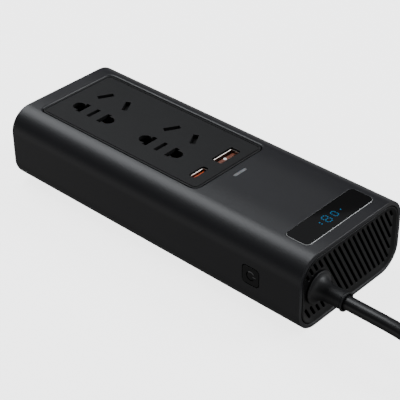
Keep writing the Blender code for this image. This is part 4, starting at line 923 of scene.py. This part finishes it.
def in_slot_field(y, z):
    half_width = SIDE - SLOT_MARGINS[0] - SLOT_FIELD_CORNER
    half_height = (TOP - UNDER) / 2 - SLOT_MARGINS[1] - SLOT_FIELD_CORNER
    past_y = max(abs(y) - half_width, 0)
    past_z = max(abs(z) - half_height, 0)
    return math.hypot(past_y, past_z) < SLOT_FIELD_CORNER


def slot_runs(keep_clear):
    """(middle, half length) of each stretch of a leaning slot that is free of the lead's flange."""
    step = 0.1 * MM
    reach = int((TOP - UNDER) / step)
    count = int(2 * SIDE / SLOT_PITCH) + 1
    runs = []
    for number in range(-count, count + 1):
        run = []
        for i in range(-reach, reach + 1):
            drop = i * step * math.cos(SLOT_LEAN)
            y = SLOT_PHASE + number * SLOT_PITCH + i * step * math.sin(SLOT_LEAN)
            free = keep_clear is None or math.hypot(y - LEAD_Y, drop) > keep_clear
            if in_slot_field(y, drop) and free:
                run.append(Vector((0, y, MIDDLE - drop)))
                continue
            if len(run) * step > SHORTEST_SLOT:
                runs.append(((run[0] + run[-1]) / 2, (run[-1] - run[0]).length / 2))
            run = []
    return runs


def slot_cutter(runs, level, facing, radii, depth):
    """One cutter for all the slots, from the tree; it starts at a level and widens the way it faces."""
    obj = seed("cutter", [(level, middle.y, middle.z) for middle, _ in runs])
    obj.data.attributes.new("half_run", "FLOAT", "POINT").data.foreach_set("value", [
        half - SLOT_WIDTH / 2 for _, half in runs])
    along = (0.0, math.sin(SLOT_LEAN), -math.cos(SLOT_LEAN))
    return run_tree(obj, SLOTS, {
        "Inner Radius": radii[0], "Mouth Radius": radii[1], "Depth": depth, "Along": along,
        "Turn": (0.0, facing * math.pi / 2, 0.0), "Material": GRILLE_ABS})


def make_grille(name, node, facing, keep_clear):
    """A shallow dish with a soft rim and leaning slots whose mouths are eased."""
    fit = WALL + GAP
    rim_in = fit + CAP_RIM
    face = facing * (END - DISH_DEPTH)
    back = face - facing * CAP_PANEL
    edge = round_over(0.2 * MM, facing * END, facing, 3)
    cap = stack(name, "X", lambda inset: sleeve_outline(fit + inset), [(0, facing * (END - CAP_SKIRT)), *edge],
                GRILLE_ABS)
    crest = rim_in - 0.125 * MM
    dish = stack("cutter", "X", sleeve_outline, [
        (rim_in + DISH_SLOPE, face), (rim_in + DISH_SLOPE - 0.25 * MM, face + facing * 0.04 * MM),
        (rim_in + 0.35 * MM, facing * (END - 0.22 * MM)), (rim_in + 0.1 * MM, facing * (END - 0.06 * MM)),
        (crest, facing * (END + 0.01 * MM)), (crest, facing * (END + 2 * MM))])
    hollow = stack("cutter", "X", sleeve_outline, [
        (fit + CAP_WALL, back), (fit + CAP_WALL, facing * (END - CAP_SKIRT - WALL))])
    cap = combine(cap, [dish, hollow])
    runs = slot_runs(keep_clear)
    radius = SLOT_WIDTH / 2
    ease = 0.16 * MM
    tools = [
        slot_cutter(runs, back - facing * 1 * MM, facing, (radius, radius), CAP_PANEL + 3 * MM),
        slot_cutter(runs, face - facing * ease, facing, (radius, radius + 2 * ease), 2 * ease),
    ]
    if keep_clear:
        tools.append(lathe("cutter", [(0, RELIEF_BORE), (6 * MM, RELIEF_BORE)], (back - WALL, LEAD_Y, MIDDLE),
                           (1, 0, 0)))
    cap = settle_normals(combine(cap, tools))
    place_piece(cap, "housing", "housing_abs", node)


# ---- strain relief

def make_strain_relief():
    """A trumpet that flows from a wide flange into a barrel, and a lip where the cord comes out."""
    start, tip = RELIEF_LOW.x, RELIEF_HIGH.x
    face = END - DISH_DEPTH + GAP
    barrel, lip, shank = 3.9 * MM, 4.3 * MM, 5.0 * MM
    flange = FLANGE_RADIUS
    marks = [*steps_from(start, 0, (0, 6.5), (1.5, 6.5)), (start + 1.5 * MM, shank), (face, shank),
             *steps_from(face, flange, (0, -0.15), (0.15, 0), (0.35, 0), (0.55, -0.06), (0.68, -0.22))]
    foot, neck = face + 0.72 * MM, flange - 0.38 * MM
    for step in range(1, 19):
        turn = math.pi / 2 * step / 18
        marks.append((foot + 5.4 * MM * (1 - math.cos(turn)), neck - (neck - barrel - 0.1 * MM) * math.sin(turn)))
    marks += steps_from(tip, barrel, (-1.35, 0), (-1.15, 0.06))
    marks += steps_from(tip, lip, (-0.95, -0.1), (-0.75, 0), (-0.3, 0), (-0.08, -0.1), (0, -0.3), (0, -0.55),
                        (-0.12, -0.72))
    marks += steps_from(tip, CORD_RADIUS, (-1.6, 0.28))
    profile = [(along - start, radius) for along, radius in marks]
    relief = lathe("strain_relief_boot", profile, (start, LEAD_Y, MIDDLE), (1, 0, 0), PVC_MOULDED, 96, 40)
    return place_piece(relief, "housing", "cord_pvc", "strain_relief")


# ---- feet

def make_feet():
    for number in (1, 2, 3, 4):
        low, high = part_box(f"rubber_foot_{number}")
        radius = (high.x - low.x) / 2
        profile = steps_from(0, radius, (0, -0.9), (0.05, -0.55), (0.22, -0.2), (0.45, -0.04), (0.6, 0))
        start = ((low.x + high.x) / 2, (low.y + high.y) / 2, 0)
        foot = lathe(f"foot_pad_{number}", [*profile, (high.z, radius)], start, (0, 0, 1), RUBBER, 48, 50)
        place_piece(foot, "housing", "rubber_feet", f"rubber_foot_{number}")


# ---- tie and plug

def make_tie():
    """A plain strap round two strands, its edges eased."""
    eased, thick = 0.2 * MM, 0.75 * MM
    band = rounded(TIE_SIZE.y, TIE_SIZE.z, 1.4 * MM, (TIE_MIDDLE.y, TIE_MIDDLE.z), steps=8)
    strap = stack("hank_tie", "X", band, [(eased, TIE_LOW.x), (0, TIE_LOW.x + eased),
                                          (0, TIE_HIGH.x - eased), (eased, TIE_HIGH.x)], NYLON_AND_HOLE_SHADE)
    hole = stack("cutter", "X", band, [(thick, TIE_LOW.x - MM), (thick, TIE_HIGH.x + MM)])
    combine(strap, [hole])
    place_piece(settle_normals(strap), "housing", "inner_nylon", "cord_tie")
    return strap


def plug_turned(name, points, start, material=None):
    """A turned piece of the plug, from the side of its boot towards its nose."""
    return lathe(name, points, (start, PLUG_Y, PLUG_Z), (-1, 0, 0), material, 72, 40)


def smooth_run(name, tree, slot, values):
    """What a tree makes of a single point, as a smooth piece of the housing."""
    piece = run_tree(seed(name), tree, values)
    piece.data.shade_smooth()
    return place_piece(piece, "housing", slot)


def make_boot():
    """The plug's bend relief: a taper with soft rings round it."""
    length = BOOT_HIGH.x - BOOT_LOW.x
    wide = (BOOT_HIGH.y - BOOT_LOW.y) / 2
    points = [*steps_from(0, CORD_RADIUS, (0, 0.3), (0.1, 0.8), (0.5, 1.0)),
              (length * 0.5, wide * 0.86), (length * 0.8, wide * 0.97), (length, wide * 0.97)]
    boot = plug_turned("plug_bend_relief", points, BOOT_HIGH.x, PVC_MOULDED)
    place_piece(boot, "housing", "cord_pvc", "plug_boot")
    rings = smooth_run("plug_bend_rings", RINGS, "cord_pvc", {
        "Count": 5, "Pitch": (-2.3 * MM, 0, 0), "Start": (BOOT_HIGH.x - 1.6 * MM, PLUG_Y, PLUG_Z),
        "Radius": 4.15 * MM, "Shrink": -0.075, "Thickness": 0.45 * MM, "Material": PVC_MOULDED})
    return [boot, rings]


def make_grip(barrel):
    """The plug's grip and barrel in one shell, its bore, the two side slots and the ridges of the grip."""
    low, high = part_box("plug_body")
    grip = (high.z - low.z) / 2
    neck, length = 30 * MM, high.x - low.x
    points = [*steps_from(0, 0, (0, 7.2), (0.3, 7.8), (1.4, 9.3)),
              *steps_from(0, grip, (3.0, -0.5), (4.6, -0.1), (6.0, -0.25), (15, -0.75), (24, -0.3), (26.5, 0),
                          (28.5, -0.15)),
              *steps_from(neck, barrel, (0, 0.1), (0.4, 0)), *steps_from(length, barrel, (-0.3, 0), (0, -0.3))]
    body = plug_turned("plug_shell", points, high.x, GRILLE_ABS)
    tools = [plug_turned("cutter", [(0, PLUG_BORE), (36 * MM, PLUG_BORE)], low.x + 34 * MM)]
    for word, side in (("left", -1), ("right", 1)):
        left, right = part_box(f"plug_{word}_contact")
        opening = rounded(right.x - left.x + 2 * GAP, right.z - left.z + 2 * GAP, 1.2 * MM,
                          ((left.x + right.x) / 2, PLUG_Z), steps=5)
        tools.append(stack("cutter", "Y", opening,
                           [(0, PLUG_Y + side * 5.2 * MM), (0, PLUG_Y + side * 2 * barrel)]))
    body = settle_normals(combine(body, tools), 40)
    place_piece(body, "housing", "plug_abs", "plug_body")
    ridges = smooth_run("plug_grip_ridges", RIDGES, "plug_abs", {
        "Count": 28, "Radius": grip - 0.75 * MM, "Centre": (high.x - 15 * MM, PLUG_Y, PLUG_Z),
        "Ridge Size": (17 * MM, 1.1 * MM, 1.1 * MM), "Material": GRILLE_ABS})
    return [body, ridges]


def make_nose(barrel):
    """The screwed ring at the plug's nose, with a knurled edge."""
    low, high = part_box("plug_nose_ring")
    reach = high.x - low.x
    outer = [*steps_from(0, barrel, (0, -0.2), (0.2, 0), (2.0, 0), (2.2, -0.1)), *steps_from(0, 0, (3.2, 9.2)),
             *steps_from(reach, 0, (-0.5, 7.75), (-0.1, 7.5), (0, 7.2))]
    nose = plug_turned("plug_nose", outer, high.x, GRILLE_ABS)
    through = plug_turned("cutter", steps_from(0, 0, (0, 3.9), (20, 3.9)), high.x + 5 * MM)
    wide = plug_turned("cutter", [(0, PLUG_BORE), (reach, PLUG_BORE)], high.x + 2 * MM)
    nose = settle_normals(combine(nose, [through, wide]), 40)
    place_piece(nose, "housing", "plug_abs", "plug_nose_ring")
    knurls = smooth_run("plug_nose_knurls", RIDGES, "plug_abs", {
        "Count": 48, "Radius": barrel - 0.28 * MM, "Centre": (high.x - 1.1 * MM, PLUG_Y, PLUG_Z),
        "Ridge Size": (1.7 * MM, 0.7 * MM, 0.55 * MM), "Material": GRILLE_ABS})
    return [nose, knurls]


def make_tip():
    """The sprung pin at the plug's nose, with a collar behind and a rounded end."""
    low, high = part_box("plug_tip")
    whole = high.x - low.x
    radius, dome = 3.6 * MM, 2.6 * MM
    points = [*steps_from(0, 0, (0, 3.7), (0.2, 3.9), (1.0, 3.9), (1.2, 3.75)), (1.3 * MM, radius)]
    for step in range(8):
        turn = math.pi / 2 * step / 8
        points.append((whole - dome + dome * math.sin(turn), radius * math.cos(turn)))
    tip = plug_turned("plug_tip_pin", [*points, (whole, 0)], high.x, TURNED_NICKEL)
    return place_piece(tip, "plug_tip_and_fuse", "nickel_plate", "plug_tip")


def make_side_spring(word, side):
    """A leaf of spring steel, bowed out of its slot."""
    low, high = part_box(f"plug_{word}_contact")
    inner, outer = (low.y, high.y) if side > 0 else (high.y, low.y)
    wide = high.z - low.z - 0.3 * MM
    steps, thick = 16, 0.5 * MM
    rings = []
    for step in range(steps + 1):
        share = step / steps
        bow = math.sin(math.pi * share) ** 0.7
        y = inner + (outer - inner) * (0.35 + 0.65 * bow)
        x = low.x + (high.x - low.x) * share
        rings.append([(x, y - side * layer * thick, PLUG_Z + up * wide)
                      for up, layer in ((-0.5, 0), (0.5, 0), (0.5, 1), (-0.5, 1))])
    spring = skinned(f"plug_{word}_spring_leaf", rings, NICKEL, 40)
    bevel = spring.modifiers.new("edges", "BEVEL")
    bevel.width = 0.12 * MM
    bevel.segments = 2
    baked(spring)
    return place_piece(spring, f"plug_{word}_spring", "nickel_plate", f"plug_{word}_contact")


def make_plug():
    """Grip, barrel, nose ring, sprung tip, side springs: the 12 V plug in its own finishes."""
    low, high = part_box("plug_nose_ring")
    barrel = (high.z - low.z) / 2
    return [*make_grip(barrel), *make_nose(barrel), make_tip(),
            make_side_spring("left", -1), make_side_spring("right", 1)]


# ---- floor and lights

FLOOR_REACH = 6.0
PAPER = {"Base Color": (0.9, 0.9, 0.9, 1), "Roughness": 0.9, "Emission Color": (1, 1, 1, 1),
         "Emission Strength": 3.0}
# What the studio gives back from straight below (0) to straight above (1): a dim room over a pale floor
WALLS = ((0.0, 0.07), (0.2, 0.19), (0.36, 0.5), (0.44, 0.45), (0.52, 0.05), (0.66, 0.03), (0.8, 0.1), (1.0, 0.16))
# The room is a little lighter past the lead's end
LIGHTER_END = {"From Min": 0.1, "From Max": 0.6, "To Min": 1.0, "To Max": 1.35}
BACKDROP = 5.0
# Name, place, size, power and, for one that hangs level, its turn; the others are aimed at the sleeve
SOFT_BOXES = (
    ("long_box", (-0.62, -0.01, 0.91), (0.58, 0.75), 7.0, None),
    ("fill_box", (-0.66, 0.58, 0.90), (0.6, 0.4), 1.0, 90),
    ("far_box", (-0.489, 0.869, 0.90), (0.4, 0.5), 0.10, 51),
    ("edge_box", (0.56, 0.62, 0.68), (0.45, 0.5), 6.0, None),
    ("low_box", (1.0, 0.75, 0.15), (0.5, 0.25), 0.5, None),
    ("front_box", (1.0, -0.45, 0.5), (0.4, 0.4), 1.0, None),
)
DAYLIGHT = (0.94, 0.97, 1.0)


def make_floor():
    bm = bmesh.new()
    bmesh.ops.create_grid(bm, x_segments=1, y_segments=1, size=FLOOR_REACH)
    floor = to_object("floor", bm)
    floor.location.z = -0.02 * MM
    paper = bpy.data.materials.new("white_paper")
    paper.use_nodes = True
    shader = paper.node_tree.nodes["Principled BSDF"]
    for key, value in PAPER.items():
        shader.inputs[key].default_value = value
    floor.data.materials.append(paper)
    floor.visible_glossy = False
    floor.visible_diffuse = False


def make_room():
    """The room that the surfaces reflect; the camera sees an even white in its place."""
    world = bpy.data.worlds.new("studio")
    bpy.context.scene.world = world
    world.use_nodes = True
    tree = world.node_tree
    tree.nodes.clear()
    rays = add_node(tree, "ShaderNodeLightPath")
    way = add_node(tree, "ShaderNodeTexCoord")
    height = add_node(tree, "ShaderNodeSeparateXYZ", links={0: way.outputs["Generated"]})
    share = add_node(tree, "ShaderNodeMapRange", {"From Min": -1.0}, {"Value": height.outputs["Z"]})
    ramp = add_node(tree, "ShaderNodeValToRGB", links={"Fac": share})
    steps = ramp.color_ramp.elements
    for place, level in WALLS[1:-1]:
        steps.new(place).color = (level, level, level, 1)
    for step, (place, level) in ((steps[0], WALLS[0]), (steps[len(WALLS) - 1], WALLS[-1])):
        step.position = place
        step.color = (level, level, level, 1)
    seen = add_node(tree, "ShaderNodeBackground", {"Color": (1, 1, 1, 1), "Strength": BACKDROP})
    ahead = add_node(tree, "ShaderNodeMapRange", LIGHTER_END, {"Value": height.outputs["X"]})
    lit = add_node(tree, "ShaderNodeBackground", links={"Color": ramp, "Strength": ahead})
    mix = add_node(tree, "ShaderNodeMixShader", links={0: rays.outputs["Is Camera Ray"], 1: lit, 2: seen})
    add_node(tree, "ShaderNodeOutputWorld", links={"Surface": mix})


def soft_box(name, place, size, power, turn):
    data = bpy.data.lights.new(name, "AREA")
    data.shape = "RECTANGLE"
    data.size, data.size_y = size
    data.energy = power
    data.color = DAYLIGHT
    light = bpy.data.objects.new(name, data)
    light.location = place
    if turn is None:
        light.rotation_mode = "QUATERNION"
        light.rotation_quaternion = (Vector((0, 0, MIDDLE)) - Vector(place)).to_track_quat("-Z", "Y")
    else:
        light.rotation_euler.z = math.radians(turn - 90)
    bpy.context.scene.collection.objects.link(light)


finish_cad_nodes()
make_sleeve()
make_panel()
make_usb("a")
make_usb("c")
make_light()
make_display()
make_button()
make_grille("front_grille", "front_grille_cap", 1, FLANGE_RADIUS + SLOT_WIDTH)
make_grille("rear_grille", "rear_grille_cap", -1, None)
RELIEF = make_strain_relief()
make_feet()
TIE = make_tie()
PLUG = make_boot() + make_plug()
make_floor()
make_room()
for box in SOFT_BOXES:
    soft_box(*box)
